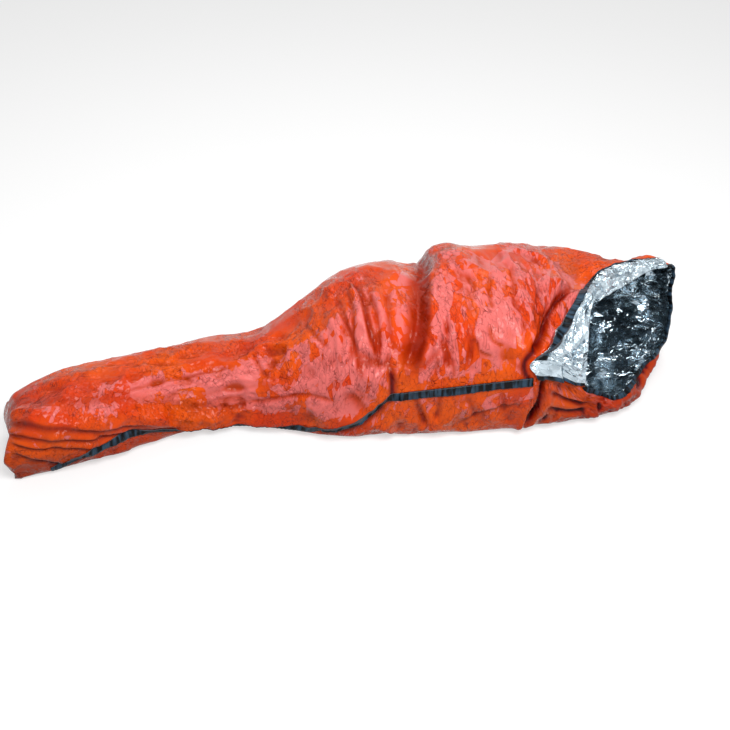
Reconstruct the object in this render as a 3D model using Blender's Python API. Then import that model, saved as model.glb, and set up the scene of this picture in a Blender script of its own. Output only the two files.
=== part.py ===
"""Emergency bivvy bag: a film sack, silver inside and orange outside, with a turned-back face opening.

The bag lies along X with its foot at -X, its near side at -Y and the ground at Z = 0, filled out as
it is when in use. Every sheet is a patch of one grid of rings, so layers, tapes and neighbours share
their edges. The film and its lining are far thicker here than real foil, so that they can be solid.
"""
import math

import bmesh
import bpy
from mathutils import Vector

# Sheets, in metres
GAP = 0.0003
FILM = 0.0012
LINING = 0.0008
TAPE = 0.0010
TAPE_WIDTH = 0.025
FOOT_TAPE_DROP = 0.0006

# Side opening, closed by a flap with hooks over a loop strip
SLIT_WIDTH = 0.010
LOOP_PILE = 0.0012
HOOK_PILE = 0.0010
FLAP_TAPE = 0.0012
FLAP_FLOAT = 0.0003

# Turned-back edge of the face opening
TURN_LIFT = 0.006
TURN_STEPS = 4
TURNED_ROWS = 4
FACE_FLAP_GAP = 0.0006

# Stretch cord in a sewn channel round the lower rim
CORD_DIAMETER = 0.0020
CORD_CLEARANCE = 0.0010
CORD_SIDES = 8
CORD_CAP = ((0, 1, 2, 3), (0, 3, 4, 7), (7, 4, 5, 6))
CHANNEL_WALL = 0.0008
CHANNEL_LEG = 0.012
CHANNEL_CAP = ((0, 1, 2, 11), (11, 2, 3, 10), (10, 3, 4, 9), (9, 4, 5, 8), (8, 5, 6, 7))

# The near side seam is straight between these two points, so that the side flap can turn on it.
SEAM_START = Vector((0.080, -0.252, 0.176))
SEAM_END = Vector((0.470, -0.325, 0.220))

# Moves the stations below so that the bag's box is centred on the origin.
SHIFT = Vector((-0.0238, 0.0220, 0.0))

# Sections of the filled bag from the foot seam to the hip: where the ring stands at the ground and at
# the crown, its near and far sides, its crown, and how high the sides bulge and the near seam runs.
SECTION_FIELDS = ("x_base", "x_top", "near", "far", "crown", "height", "near_bulge", "far_bulge",
                  "seam", "base_in")
LOWER_BODY = (
    (-0.962, -0.962, -0.160, 0.006, -0.060, 0.012, 0.006, 0.006, 0.006, 0.008),
    (-0.944, -0.960, -0.166, 0.012, -0.060, 0.027, 0.014, 0.014, 0.014, 0.014),
    (-0.938, -0.980, -0.178, 0.030, -0.060, 0.080, 0.045, 0.045, 0.030, 0.034),
    (-0.929, -0.972, -0.186, 0.048, -0.058, 0.144, 0.085, 0.070, 0.030, 0.046),
    (-0.906, -0.940, -0.190, 0.066, -0.054, 0.190, 0.115, 0.080, 0.024, 0.056),
    (-0.860, -0.870, -0.190, 0.082, -0.048, 0.210, 0.140, 0.085, 0.024, 0.062),
    (-0.780, -0.780, -0.180, 0.108, -0.030, 0.228, 0.145, 0.085, 0.062, 0.074),
    (-0.680, -0.680, -0.160, 0.132, -0.004, 0.226, 0.132, 0.080, 0.085, 0.078),
    (-0.580, -0.580, -0.128, 0.156, 0.020, 0.212, 0.108, 0.080, 0.072, 0.075),
    (-0.480, -0.480, -0.098, 0.184, 0.045, 0.200, 0.088, 0.080, 0.042, 0.078),
    (-0.380, -0.380, -0.096, 0.198, 0.050, 0.200, 0.085, 0.080, 0.030, 0.078),
    (-0.280, -0.280, -0.118, 0.196, 0.040, 0.218, 0.090, 0.085, 0.028, 0.078),
    (-0.180, -0.180, -0.160, 0.212, 0.030, 0.262, 0.105, 0.100, 0.034, 0.070),
    (-0.080, -0.080, -0.208, 0.250, 0.020, 0.328, 0.125, 0.115, 0.055, 0.064),
    (0.000, 0.000, -0.236, 0.276, 0.010, 0.368, 0.150, 0.130, 0.100, 0.064),
)
# From the hip to the shoulder the near side follows the straight seam and bulges most there.
UPPER_FIELDS = ("x", "far", "crown", "height", "far_bulge", "base_in")
UPPER_BODY = (
    (0.080, 0.285, 0.000, 0.388, 0.140, 0.080),
    (0.110, 0.285, -0.003, 0.390, 0.142, 0.074),
    (0.190, 0.285, -0.010, 0.388, 0.145, 0.070),
    (0.260, 0.286, -0.015, 0.392, 0.150, 0.075),
    (0.360, 0.288, -0.015, 0.420, 0.150, 0.080),
    (0.470, 0.276, -0.020, 0.418, 0.150, 0.105),
)
FULLNESS = 0.88

# Rim of the face opening, by the share of the way round the bag from the near seam over the top:
# the edge point, and the way the film runs as it arrives there.
RIM = (
    (0.00, (0.6460, -0.2900, 0.140), (0.05, -0.010, -0.010)),
    (0.06, (0.6424, -0.2885, 0.213), (0.05, -0.010, 0.000)),
    (0.12, (0.6388, -0.2870, 0.286), (0.05, -0.010, 0.006)),
    (0.15, (0.6520, -0.2400, 0.330), (0.05, -0.020, 0.000)),
    (0.19, (0.6830, -0.1860, 0.360), (0.05, -0.050, -0.020)),
    (0.24, (0.7570, -0.1230, 0.344), (0.05, -0.090, -0.015)),
    (0.29, (0.8210, -0.0860, 0.336), (0.05, -0.110, -0.015)),
    (0.35, (0.8930, -0.0430, 0.332), (0.05, -0.110, -0.020)),
    (0.41, (0.9550, -0.0190, 0.325), (0.06, -0.110, -0.040)),
    (0.47, (1.0240, -0.0080, 0.298), (0.07, -0.100, -0.030)),
    (0.50, (1.0220, -0.0040, 0.250), (0.06, -0.120, 0.010)),
    (0.55, (1.0180, -0.0100, 0.185), (0.03, -0.140, 0.060)),
    (0.61, (0.9920, -0.0520, 0.135), (0.00, -0.110, 0.070)),
    (0.68, (0.9350, -0.1080, 0.102), (-0.05, 0.005, 0.077)),
    (0.76, (0.8750, -0.1620, 0.084), (-0.08, 0.050, 0.080)),
    (0.84, (0.8100, -0.2240, 0.076), (-0.08, 0.050, 0.075)),
    (0.90, (0.7500, -0.2700, 0.080), (-0.03, 0.020, 0.075)),
    (0.95, (0.6970, -0.2840, 0.106), (0.02, 0.000, 0.055)),
    (0.99, (0.6560, -0.2890, 0.132), (0.02, -0.003, 0.050)),
)

# Outer edge of the turned-back film, by the same share: how far back from the rim it lies, in
# lengths of the hood's film, and how far round the bag it has moved.
TURNED_EDGE = (
    (0.000, 0.930, -0.003),
    (0.030, 1.020, 0.004),
    (0.080, 0.700, -0.020),
    (0.120, 0.480, -0.020),
    (0.160, 0.310, -0.008),
    (0.190, 0.270, 0.000),
    (0.240, 0.210, 0.000),
    (0.290, 0.155, 0.000),
    (0.350, 0.115, 0.000),
    (0.410, 0.070, 0.000),
    (0.460, 0.030, 0.000),
)

# Main folds of the film, each by its form, height, width and the (row, column) points that it runs
# through. A form gives the height, as a share, at distances across the fold, in widths. It starts
# on the foot's side, or on the lower side where the fold runs towards the foot.
FOLD_FORMS = {
    "valley": ((-2.2, 0.0), (-1.2, 0.16), (0.0, -1.0), (1.2, 0.16), (2.2, 0.0)),
    "ridge": ((-2.0, 0.0), (-1.0, 0.22), (0.0, 1.0), (1.0, 0.22), (2.0, 0.0)),
    "step": ((-3.0, 0.0), (-1.6, 0.04), (-0.25, -0.34), (0.0, -0.52), (0.8, 0.38),
             (1.15, 0.5), (2.0, 0.34), (3.4, 0.0)),
}
WAIST_CREASE = (
    (21.6, 17.6), (21.5, 15.5), (21.3, 13.4), (21.0, 11.1), (20.6, 9.5),
    (20.3, 7.8), (20.0, 6.2), (19.7, 4.9), (19.3, 3.7), (18.9, 2.6))
MAIN_FOLDS = (
    ("step", 0.052, 0.046, WAIST_CREASE),
    ("ridge", 0.020, 0.055, ((18.4, 5.0), (18.4, 3.2), (18.3, 1.0), (17.8, 32.6), (16.8, 31.6))),
    ("ridge", 0.014, 0.046, ((3.2, 11.4), (5.0, 8.3), (6.8, 5.6), (9.1, 3.8), (11.2, 3.0), (13.5, 2.6))),
    ("valley", 0.020, 0.042, ((28.6, 7.6), (27.4, 6.5), (26.2, 5.4), (25.0, 4.5), (24.1, 3.9))),
    ("valley", 0.016, 0.044, ((25.2, 2.4), (25.1, 0.4), (25.0, 33.0), (24.9, 31.6))),
)
FOLD_STEPS = 40
FOLD_FADE = 0.2

# The film stays flat round the side flap: so many columns to each side of the seam, and then the
# columns over which the folds come back.
CALM_COLUMNS = 3
FREEING_COLUMNS = 2

# Rows that run along the waist crease instead of round the bag, by how many rows they lie past it.
# They do so between the middle two of the four columns, and rows beyond the two ends stay as they are.
CREASE_ROWS = ((19, -0.8), (20, 0.0), (21, 0.62), (22, 1.5))
CREASE_ENDS = (16, 24)
CREASE_COLUMNS = (4, 7, 14, 18)

# Rings and columns of the grid
FOOT_ROWS = 6
UNLINED_ROWS = 2
LEG_AND_TORSO_ROWS = 19
HOOD_ROWS = 8
UPPER_COLUMNS = 16
LOWER_COLUMNS = 12
ARC_STEPS = 28
FLAP_COLUMNS = 3
FACING_COLUMNS = 11
TURNED_SPLIT = 3

COLOURS = {
    "orange_film": ((0.78, 0.09, 0.02), 0.35, 0.0),
    "silver_film": ((0.75, 0.80, 0.85), 0.22, 1.0),
    "black_tape": ((0.020, 0.026, 0.034), 0.60, 0.0),
    "black_webbing": ((0.012, 0.014, 0.018), 0.80, 0.0),
    "stretch_cord": ((0.030, 0.030, 0.032), 0.70, 0.0),
}

# Columns of the grid, counted round from the near seam over the top
NEAR, SLIT_TOP, TAPE_TOP = 0, 1, 2
FAR_TAPE_TOP = TAPE_TOP + UPPER_COLUMNS
FAR = FAR_TAPE_TOP + 1
FAR_TAPE_LOW = FAR + 1
TAPE_LOW = FAR_TAPE_LOW + LOWER_COLUMNS
SLIT_LOW = TAPE_LOW + 1
COLUMNS = SLIT_LOW + 1
FLAP_END = TAPE_TOP + FLAP_COLUMNS
FACING_END = FLAP_END + FACING_COLUMNS

# Rows of the grid, counted from the foot seam
SHOULDER = FOOT_ROWS + LEG_AND_TORSO_ROWS - 1
RIM_ROW = SHOULDER + HOOD_ROWS


def clear_scene():
    for thing in list(bpy.data.objects):
        bpy.data.objects.remove(thing)


def material(slot):
    made = bpy.data.materials.get(slot)
    if made is None:
        colour, roughness, metallic = COLOURS[slot]
        made = bpy.data.materials.new(slot)
        made.use_nodes = True
        shader = made.node_tree.nodes["Principled BSDF"]
        shader.inputs["Base Color"].default_value = (*colour, 1.0)
        shader.inputs["Roughness"].default_value = roughness
        shader.inputs["Metallic"].default_value = metallic
        made.diffuse_color = (*colour, 1.0)
    return made


def curve_at(knots, values, at):
    """Smooth curve through numbers or vectors that stand at rising knots."""
    last = len(knots) - 1
    index = 0
    while index < last - 1 and at > knots[index + 1]:
        index += 1
    span = knots[index + 1] - knots[index]
    share = min(1.0, max(0.0, (at - knots[index]) / span))

    def slope(i):
        low, high = max(0, i - 1), min(last, i + 1)
        return (values[high] - values[low]) * (1.0 / (knots[high] - knots[low]))

    start, end = slope(index) * span, slope(index + 1) * span
    square, cube = share ** 2, share ** 3
    return (values[index] * (2 * cube - 3 * square + 1) + start * (cube - 2 * square + share)
            + values[index + 1] * (3 * square - 2 * cube) + end * (cube - square))


def upper_station(row):
    """Full section values at a hip-to-shoulder row, whose near side follows the straight seam."""
    values = dict(zip(UPPER_FIELDS, row))
    share = (values["x"] - SEAM_START.x) / (SEAM_END.x - SEAM_START.x)
    seam = SEAM_START.lerp(SEAM_END, share)
    return (values["x"], values["x"], seam.y, values["far"], values["crown"], values["height"],
            seam.z, values["far_bulge"], seam.z, values["base_in"])


STATIONS = LOWER_BODY + tuple(upper_station(row) for row in UPPER_BODY)


def crown_distances():
    """Distance of each station from the foot seam, along the crown."""
    distances = [0.0]
    for before, after in zip(STATIONS, STATIONS[1:]):
        step = math.hypot(after[1] - before[1], after[5] - before[5])
        distances.append(distances[-1] + step)
    return distances


def station_at(distance):
    knots = crown_distances()
    return {name: curve_at(knots, [station[field] for station in STATIONS], distance)
            for field, name in enumerate(SECTION_FIELDS)}


def row_distances():
    """One row on each station of the foot end, then even rows to the shoulder."""
    knots = crown_distances()
    rows = knots[:FOOT_ROWS]
    step = (knots[-1] - rows[-1]) / LEG_AND_TORSO_ROWS
    return rows + [rows[-1] + step * (i + 1) for i in range(LEG_AND_TORSO_ROWS)]


class Section:
    """One closed ring round the bag, measured by its length from the near seam."""

    def __init__(self, station):
        self.station = station
        near, far, crown = station["near"], station["far"], station["crown"]
        near_bulge, far_bulge, height = station["near_bulge"], station["far_bulge"], station["height"]
        base_in = station["base_in"]
        steps = range(ARC_STEPS)
        over_near = [self.arc(crown, near_bulge, near - crown, height - near_bulge, i) for i in steps]
        over_far = [self.arc(crown, far_bulge, far - crown, height - far_bulge, ARC_STEPS - i) for i in steps]
        under_far = [self.arc(far - base_in, far_bulge, base_in, -far_bulge, i) for i in steps]
        width = far - near - 2 * base_in
        ground = [(far - base_in - width * i / ARC_STEPS, 0.0) for i in steps]
        under_near = [self.arc(near + base_in, near_bulge, -base_in, -near_bulge, ARC_STEPS - i)
                      for i in steps]
        self.corners = over_near + over_far + under_far + ground + under_near
        self.lengths = [0.0]
        for a, b in zip(self.corners, self.corners[1:] + self.corners[:1]):
            self.lengths.append(self.lengths[-1] + math.hypot(b[0] - a[0], b[1] - a[1]))
        self.around = self.lengths[-1]
        self.near_seam = self.seam_length()
        self.upper = (self.lengths[2 * ARC_STEPS] - self.near_seam) % self.around

    @staticmethod
    def arc(centre_y, centre_z, half_y, half_z, step):
        angle = 0.5 * math.pi * step / ARC_STEPS
        cosine, sine = max(0.0, math.cos(angle)), max(0.0, math.sin(angle))
        return (centre_y + half_y * cosine ** FULLNESS, centre_z + half_z * sine ** FULLNESS)

    def seam_length(self):
        """Length at which the near side, at its bulge or below it, stands as high as the seam."""
        count = len(self.corners)
        for i in range(count - 1, 0, -1):
            above, below = self.corners[(i + 1) % count][1], self.corners[i][1]
            if below <= self.station["seam"] <= above:
                share = (self.station["seam"] - below) / (above - below)
                return (self.lengths[i] + share * (self.lengths[i + 1] - self.lengths[i])) % self.around
        return 0.0

    def point(self, length):
        """Point at a length from the near seam, rising over the crown."""
        at = (self.near_seam + length) % self.around
        i = 0
        while self.lengths[i + 1] < at:
            i += 1
        share = (at - self.lengths[i]) / (self.lengths[i + 1] - self.lengths[i])
        a, b = self.corners[i], self.corners[(i + 1) % len(self.corners)]
        y, z = a[0] + share * (b[0] - a[0]), a[1] + share * (b[1] - a[1])
        lean = z / self.station["height"]
        x = self.station["x_base"] + lean * (self.station["x_top"] - self.station["x_base"])
        return Vector((x, y, z)) + SHIFT


def column_lengths(section):
    """Lengths round a ring. The edges of the tapes and of the side slit are columns of their own."""
    tape = min(0.5 * TAPE_WIDTH, 0.25 * section.upper)
    slit = tape * SLIT_WIDTH / TAPE_WIDTH
    over = section.upper - 2 * tape
    under = section.around - section.upper - 2 * tape
    lengths = [0.0, slit]
    lengths += [tape + over * i / UPPER_COLUMNS for i in range(UPPER_COLUMNS + 1)]
    lengths += [section.upper]
    lengths += [section.upper + tape + under * i / LOWER_COLUMNS for i in range(LOWER_COLUMNS + 1)]
    return lengths + [section.around - slit]


def rim_at(share, field):
    """Rim point or arrival at a share of the way round, which wraps."""
    count = len(RIM)
    knots = [RIM[i % count][0] + i // count - 1 for i in range(3 * count)]
    values = [Vector(RIM[i % count][field]) for i in range(3 * count)]
    return curve_at(knots, values, share % 1.0)


def hood_point(start, share, along):
    """Point of the hood, on a smooth line from the shoulder ring to the rim."""
    end = rim_at(share, 1) + SHIFT
    first = start + Vector((1.0, 0.0, 0.0)) * (end - start).length / 3.0
    second = end - rim_at(share, 2)
    second.z = max(second.z, 0.0)
    back = 1.0 - along
    return (start * back ** 3 + first * (3 * back ** 2 * along)
            + second * (3 * back * along ** 2) + end * along ** 3)


def leg_part(start, share):
    """The rim channel's leg as a part of the hood's length, which the last row keeps clear."""
    return CHANNEL_LEG / (rim_at(share, 1) + SHIFT - start).length


def hood_part(start, share, step):
    """How far along the hood a row lies. The last row but one marks the rim channel's leg."""
    if step == HOOD_ROWS:
        return 1.0
    return (1.0 - leg_part(start, share)) * step / (HOOD_ROWS - 1)


def value_at(knots, at):
    """Value on straight lines through (place, value) knots in rising order."""
    for (low, first), (high, second) in zip(knots, knots[1:]):
        if at <= high:
            return first + (second - first) * max(0.0, at - low) / (high - low)
    return knots[-1][1]


def eased(share):
    share = min(1.0, max(0.0, share))
    return share * share * (3 - 2 * share)


def row_along_crease(row, column):
    """Place of a grid point along the bag, in rows, once the rows at the waist follow its crease."""
    start, full, last, end = CREASE_COLUMNS
    follow = eased((column - start) / (full - start)) * eased((end - column) / (end - last))
    first, beyond = CREASE_ENDS
    if not follow or not first < row < beyond:
        return row
    crease = value_at(sorted((c, r) for r, c in WAIST_CREASE), column)
    knots = [(first, first)] + [(r, crease + past) for r, past in CREASE_ROWS] + [(beyond, beyond)]
    return row + follow * (value_at(knots, row) - row)


def free_to_fold(row, column, slit):
    """0 where the side flap lies and swings, up to 1 past its ends and beside it."""
    along = eased(row - slit + 1) * eased(SHOULDER + 1 - row)
    beside = min(column, COLUMNS - column) - CALM_COLUMNS
    return 1 - along * (1 - eased(beside / FREEING_COLUMNS))


class Fold:
    """One fold pressed into the bag's surface."""

    def __init__(self, surface, kind, height, width, knots):
        self.form, self.height, self.width = FOLD_FORMS[kind], height, width
        rows, columns = [knots[0][0]], [knots[0][1]]
        for row, column in knots[1:]:
            turns = round((columns[-1] - column) / COLUMNS)
            rows.append(row)
            columns.append(column + turns * COLUMNS)
        order = range(len(knots))
        places = [i * (len(knots) - 1) / FOLD_STEPS for i in range(FOLD_STEPS + 1)]
        self.line = [surface.place(curve_at(order, rows, at), curve_at(order, columns, at)) for at in places]

    def lift(self, point, normal):
        """How far the fold moves a point of the surface outwards."""
        step = min(range(len(self.line)), key=lambda i: (self.line[i] - point).length)
        before, after = max(0, step - 1), min(FOLD_STEPS, step + 1)
        tangent = (self.line[after] - self.line[before]).normalized()
        away = point - self.line[step]
        past_end = abs(away.dot(tangent))
        across = away - tangent * away.dot(tangent)
        side = 1.0 if across.dot(tangent.cross(normal)) < 0 else -1.0
        share = step / FOLD_STEPS
        fade = eased(share / FOLD_FADE) * eased((1 - share) / FOLD_FADE) * (1 - eased(past_end / self.width))
        return self.height * fade * value_at(self.form, side * across.length / self.width)


class Surface:
    """The filled bag's smooth surface, by rows and columns that may be fractions."""

    def __init__(self):
        self.distances = row_distances()
        shoulder = Section(station_at(self.distances[SHOULDER]))
        self.shares = [length / shoulder.around for length in column_lengths(shoulder)] + [1.0]

    def place(self, row, column):
        column %= COLUMNS
        body_row = min(row, SHOULDER)
        section = Section(station_at(value_at(list(enumerate(self.distances)), body_row)))
        ends = column_lengths(section) + [section.around]
        point = section.point(value_at(list(enumerate(ends)), column))
        if row <= SHOULDER:
            return point
        share = value_at(list(enumerate(self.shares)), column)
        whole = min(int(row) - SHOULDER, HOOD_ROWS - 1)
        low, high = (hood_part(point, share, step) for step in (whole, whole + 1))
        return hood_point(point, share, low + (high - low) * (row - SHOULDER - whole))


class Grid:
    """Rings of points from the foot seam to the rim, with outward normals."""

    def __init__(self):
        surface = Surface()
        self.shares = surface.shares[:-1]
        self.rows = [[surface.place(row_along_crease(row, column), column) for column in range(COLUMNS)]
                     for row in range(RIM_ROW + 1)]
        folds = [Fold(surface, *fold) for fold in MAIN_FOLDS]
        smooth, slit = self.all_normals(), first_slit_row(self)
        for r, normals in enumerate(smooth):
            for c, normal in enumerate(normals):
                point = self.rows[r][c]
                lift = sum(fold.lift(point, normal) for fold in folds) * free_to_fold(r, c, slit)
                self.rows[r][c] = point + normal * lift
        self.normals = self.all_normals()
        self.points_by_key = {(r, c): p for r, row in enumerate(self.rows) for c, p in enumerate(row)}
        self.normals_by_key = {(r, c): n for r, row in enumerate(self.normals) for c, n in enumerate(row)}

    def all_normals(self):
        return [[self.normal(row, column) for column in range(COLUMNS)] for row in range(RIM_ROW + 1)]

    def normal(self, row, column):
        low, high = max(0, row - 1), min(RIM_ROW, row + 1)
        along = self.rows[high][column] - self.rows[low][column]
        around = self.rows[row][(column + 1) % COLUMNS] - self.rows[row][column - 1]
        return along.cross(around).normalized()

    def column_at(self, share):
        """Column number, with its fraction, at a share of the way round the hood."""
        share %= 1.0
        ends = self.shares + [1.0]
        column = max(c for c in range(COLUMNS) if ends[c] <= share)
        return column + (share - ends[column]) / (ends[column + 1] - ends[column])

    def share_at(self, column):
        """Share of the way round the hood at a column that may be a fraction."""
        ends = self.shares + [1.0]
        before = int(column)
        return ends[before] + (column - before) * (ends[before + 1] - ends[before])

    def between(self, back, share):
        """Point and normal of the hood, at a part of its length back from the rim."""
        column = self.column_at(share)
        c = int(column)
        leg = leg_part(self.rows[SHOULDER][c], self.shares[c])
        past_leg = 1 + (back - leg) / (1.0 - leg) * (HOOD_ROWS - 1)
        row = RIM_ROW - max(back / leg if back < leg else past_leg, 1e-6)
        r = int(row)
        across, beside = row - r, column - c
        corners = ((r, c, (1 - across) * (1 - beside)), (r, (c + 1) % COLUMNS, (1 - across) * beside),
                   (r + 1, c, across * (1 - beside)), (r + 1, (c + 1) % COLUMNS, across * beside))
        point = sum((self.rows[i][j] * weight for i, j, weight in corners), Vector())
        normal = sum((self.normals[i][j] * weight for i, j, weight in corners), Vector())
        return point, normal.normalized()


def grid_quads(rows, columns):
    """Quads between two rows, over a run of columns that may pass the near seam."""
    return [((row, column % COLUMNS), (row, (column + 1) % COLUMNS),
             (row + 1, (column + 1) % COLUMNS), (row + 1, column % COLUMNS))
            for row in range(*rows) for column in range(*columns)]


def edges_of(quad):
    return zip(quad, quad[1:] + quad[:1])


def drawn_in(points, normals, quads, inset):
    """How far each point of a patch moves so that every free edge is drawn in by the inset."""
    owner = {edge: quad for quad in quads for edge in edges_of(quad)}
    pulls = {}
    for (a, b), quad in owner.items():
        if (b, a) in owner:
            continue
        centre = sum((points[key] for key in quad), Vector()) / len(quad)
        for key in (a, b):
            across = normals[key].cross(points[b] - points[a]).normalized()
            if across.dot(centre - points[a]) < 0:
                across.negate()
            pulls.setdefault(key, []).append(across)
    moves = {}
    for key, found in pulls.items():
        both = sum(found, Vector())
        spread = 1.0 + found[0].dot(found[1]) if len(found) == 2 else both.length
        moves[key] = both * (inset / max(spread, 0.5))
    return moves


def sheet(name, slot, points, normals, quads, low, high, inset=0.5 * GAP, pivot=Vector()):
    """Closed sheet between two offsets of a patch of quads."""
    moves = drawn_in(points, normals, quads, inset)
    form = bmesh.new()
    keys = sorted({key for quad in quads for key in quad})
    placed = {key: points[key] + moves.get(key, Vector()) for key in keys}
    upper = {key: form.verts.new(placed[key] + normals[key] * high) for key in keys}
    under = {key: form.verts.new(placed[key] + normals[key] * low) for key in keys}
    inside = {edge for quad in quads for edge in edges_of(quad)}
    for quad in quads:
        a, b, c, d = quad
        for three in ((a, b, c), (a, c, d)):
            form.faces.new([upper[key] for key in three])
            form.faces.new([under[key] for key in reversed(three)])
        for a, b in edges_of(quad):
            if (b, a) not in inside:
                form.faces.new((upper[b], upper[a], under[a]))
                form.faces.new((upper[b], under[a], under[b]))
    return finish(name, slot, form, pivot)


def finish(name, slot, form, pivot=Vector()):
    """Links a form as an object of its own, with its origin at the pivot."""
    bmesh.ops.recalc_face_normals(form, faces=form.faces)
    bmesh.ops.translate(form, verts=form.verts, vec=-pivot)
    mesh = bpy.data.meshes.new(name)
    form.to_mesh(mesh)
    form.free()
    thing = bpy.data.objects.new(name, mesh)
    thing.location = pivot
    bpy.context.scene.collection.objects.link(thing)
    thing.data.materials.append(material(slot))
    return thing


def first_slit_row(grid):
    """The slit starts one row past the start of the straight seam."""
    start = SEAM_START.x + SHIFT.x
    return next(row for row in range(SHOULDER) if grid.rows[row][NEAR].x > start)


def build_panels(grid):
    """Top, groundsheet and hood panels, each an orange film with its silver lining inside."""
    slit = (first_slit_row(grid), SHOULDER)
    slit_above = set(grid_quads(slit, (NEAR, SLIT_TOP)))
    slit_below = set(grid_quads(slit, (SLIT_LOW, COLUMNS)))
    panels = {
        "upper": [quad for quad in grid_quads((0, RIM_ROW), (NEAR, FAR)) if quad not in slit_above],
        "lower": [quad for quad in grid_quads((0, SHOULDER), (FAR, COLUMNS)) if quad not in slit_below],
        "hood": grid_quads((SHOULDER, RIM_ROW), (FAR, COLUMNS)),
    }
    points, normals = grid.points_by_key, grid.normals_by_key
    for name, quads in panels.items():
        sheet(name + "_panel", "orange_film", points, normals, quads, -FILM, 0.0)
        lined = [quad for quad in quads if quad[0][0] >= UNLINED_ROWS]
        sheet(name + "_lining", "silver_film", points, normals, lined, -FILM - GAP - LINING, -FILM - GAP)


def build_seam_tapes(grid):
    points, normals = grid.points_by_key, grid.normals_by_key
    near = grid_quads((FOOT_ROWS - 1, first_slit_row(grid)), (TAPE_LOW, COLUMNS + TAPE_TOP))
    far = grid_quads((UNLINED_ROWS, RIM_ROW - 1), (FAR_TAPE_TOP, FAR_TAPE_LOW))
    for name, quads in (("near_seam_tape", near), ("far_seam_tape", far)):
        sheet(name, "black_tape", points, normals, quads, GAP, GAP + TAPE)


def build_foot_tape(grid):
    """Tape that stands across the foot end, from just off the ground to a little way up the film."""
    points, normals = dict(grid.points_by_key), dict(grid.normals_by_key)
    for column in range(TAPE_TOP, FAR_TAPE_TOP + 1):
        edge = points[0, column]
        points[-1, column] = Vector((edge.x, edge.y, FOOT_TAPE_DROP))
        normals[-1, column] = normals[0, column]
    foot = grid_quads((-1, 1), (TAPE_TOP, FAR_TAPE_TOP))
    sheet("foot_seam_tape", "black_tape", points, normals, foot, GAP, GAP + TAPE)


def build_side_closure(grid):
    """Hem and loop strip beside the slit, and the flap with its hooks that closes over them."""
    points, normals = grid.points_by_key, grid.normals_by_key
    rows = (first_slit_row(grid), SHOULDER)
    above = grid_quads(rows, (SLIT_TOP, TAPE_TOP))
    below = grid_quads(rows, (TAPE_LOW, SLIT_LOW))
    across = grid_quads(rows, (TAPE_LOW, COLUMNS + TAPE_TOP))
    hooks = GAP + LOOP_PILE + GAP
    flap = side_flap_height()
    pivot = side_flap_hinge(grid)[0]
    sheet("side_opening_hem", "black_tape", points, normals, above, GAP, flap - FLAP_FLOAT)
    sheet("side_loop_strip", "black_webbing", points, normals, below, GAP, GAP + LOOP_PILE)
    sheet("side_flap_hooks", "black_webbing", points, normals, below, hooks, hooks + HOOK_PILE, pivot=pivot)
    sheet("side_flap", "black_tape", points, normals, across, flap, flap + FLAP_TAPE, pivot=pivot)


def side_flap_height():
    """Height of the flap's inner face over the film: loop pile, hook pile and their gaps."""
    return GAP + LOOP_PILE + GAP + HOOK_PILE + FLAP_FLOAT


def side_flap_hinge(grid):
    """The two ends of the line on which the side flap turns: the upper edge of its inner face."""
    lift = side_flap_height()
    return [grid.rows[row][TAPE_TOP] + grid.normals[row][TAPE_TOP] * lift
            for row in (first_slit_row(grid), SHOULDER)]


def turned_edge_at(share):
    knots = [row[0] for row in TURNED_EDGE]
    back = curve_at(knots, [row[1] for row in TURNED_EDGE], share)
    moved = curve_at(knots, [row[2] for row in TURNED_EDGE], share)
    return back, moved


def rim_frame(grid, column):
    """Rim point, outward normal and way beyond the rim, at a column that may be a fraction."""
    before, share = int(column) % COLUMNS, column - int(column)
    after = (before + 1) % COLUMNS
    rim = grid.rows[RIM_ROW][before].lerp(grid.rows[RIM_ROW][after], share)
    inner = grid.rows[RIM_ROW - 1][before].lerp(grid.rows[RIM_ROW - 1][after], share)
    normal = grid.normals[RIM_ROW][before].lerp(grid.normals[RIM_ROW][after], share).normalized()
    beyond = rim - inner
    return rim, (beyond - normal * beyond.dot(normal)).normalized(), normal


def turned_patch(grid):
    """Points and normals of the turned-back film: a half round at the rim, then back over the bag.

    The normal is that of the silver side, which faces out once the film is turned. The last row
    but one lies a tape's width from the outer edge.
    """
    points, normals = {}, {}
    radius = 0.5 * TURN_LIFT
    for place in range(TAPE_TOP * TURNED_SPLIT, FACING_END * TURNED_SPLIT + 1):
        column = place / TURNED_SPLIT
        rim, beyond, normal = rim_frame(grid, column)
        for step in range(TURN_STEPS + 1):
            angle = math.pi * (step / TURN_STEPS - 0.5)
            outward = beyond * math.cos(angle) + normal * math.sin(angle)
            points[place, step] = rim + (normal + outward) * radius
            normals[place, step] = outward
        share = grid.share_at(column)
        back, moved = turned_edge_at(share)
        edge, _ = grid.between(back, share + moved)
        taped = min(0.5, TAPE_WIDTH / (edge - rim).length)
        for step in range(1, TURNED_ROWS + 1):
            part = 1.0 if step == TURNED_ROWS else (1.0 - taped) * step / (TURNED_ROWS - 1)
            below, up = grid.between(back * part, share + moved * part)
            points[place, TURN_STEPS + step] = below + up * TURN_LIFT
            normals[place, TURN_STEPS + step] = up
    return points, normals


def turned_quads(columns, steps):
    """Quads of the turned-back patch, between two columns of the bag's own grid."""
    first, last = columns[0] * TURNED_SPLIT, columns[1] * TURNED_SPLIT
    return [((place, step), (place + 1, step), (place + 1, step + 1), (place, step + 1))
            for place in range(first, last) for step in range(*steps)]


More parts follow.
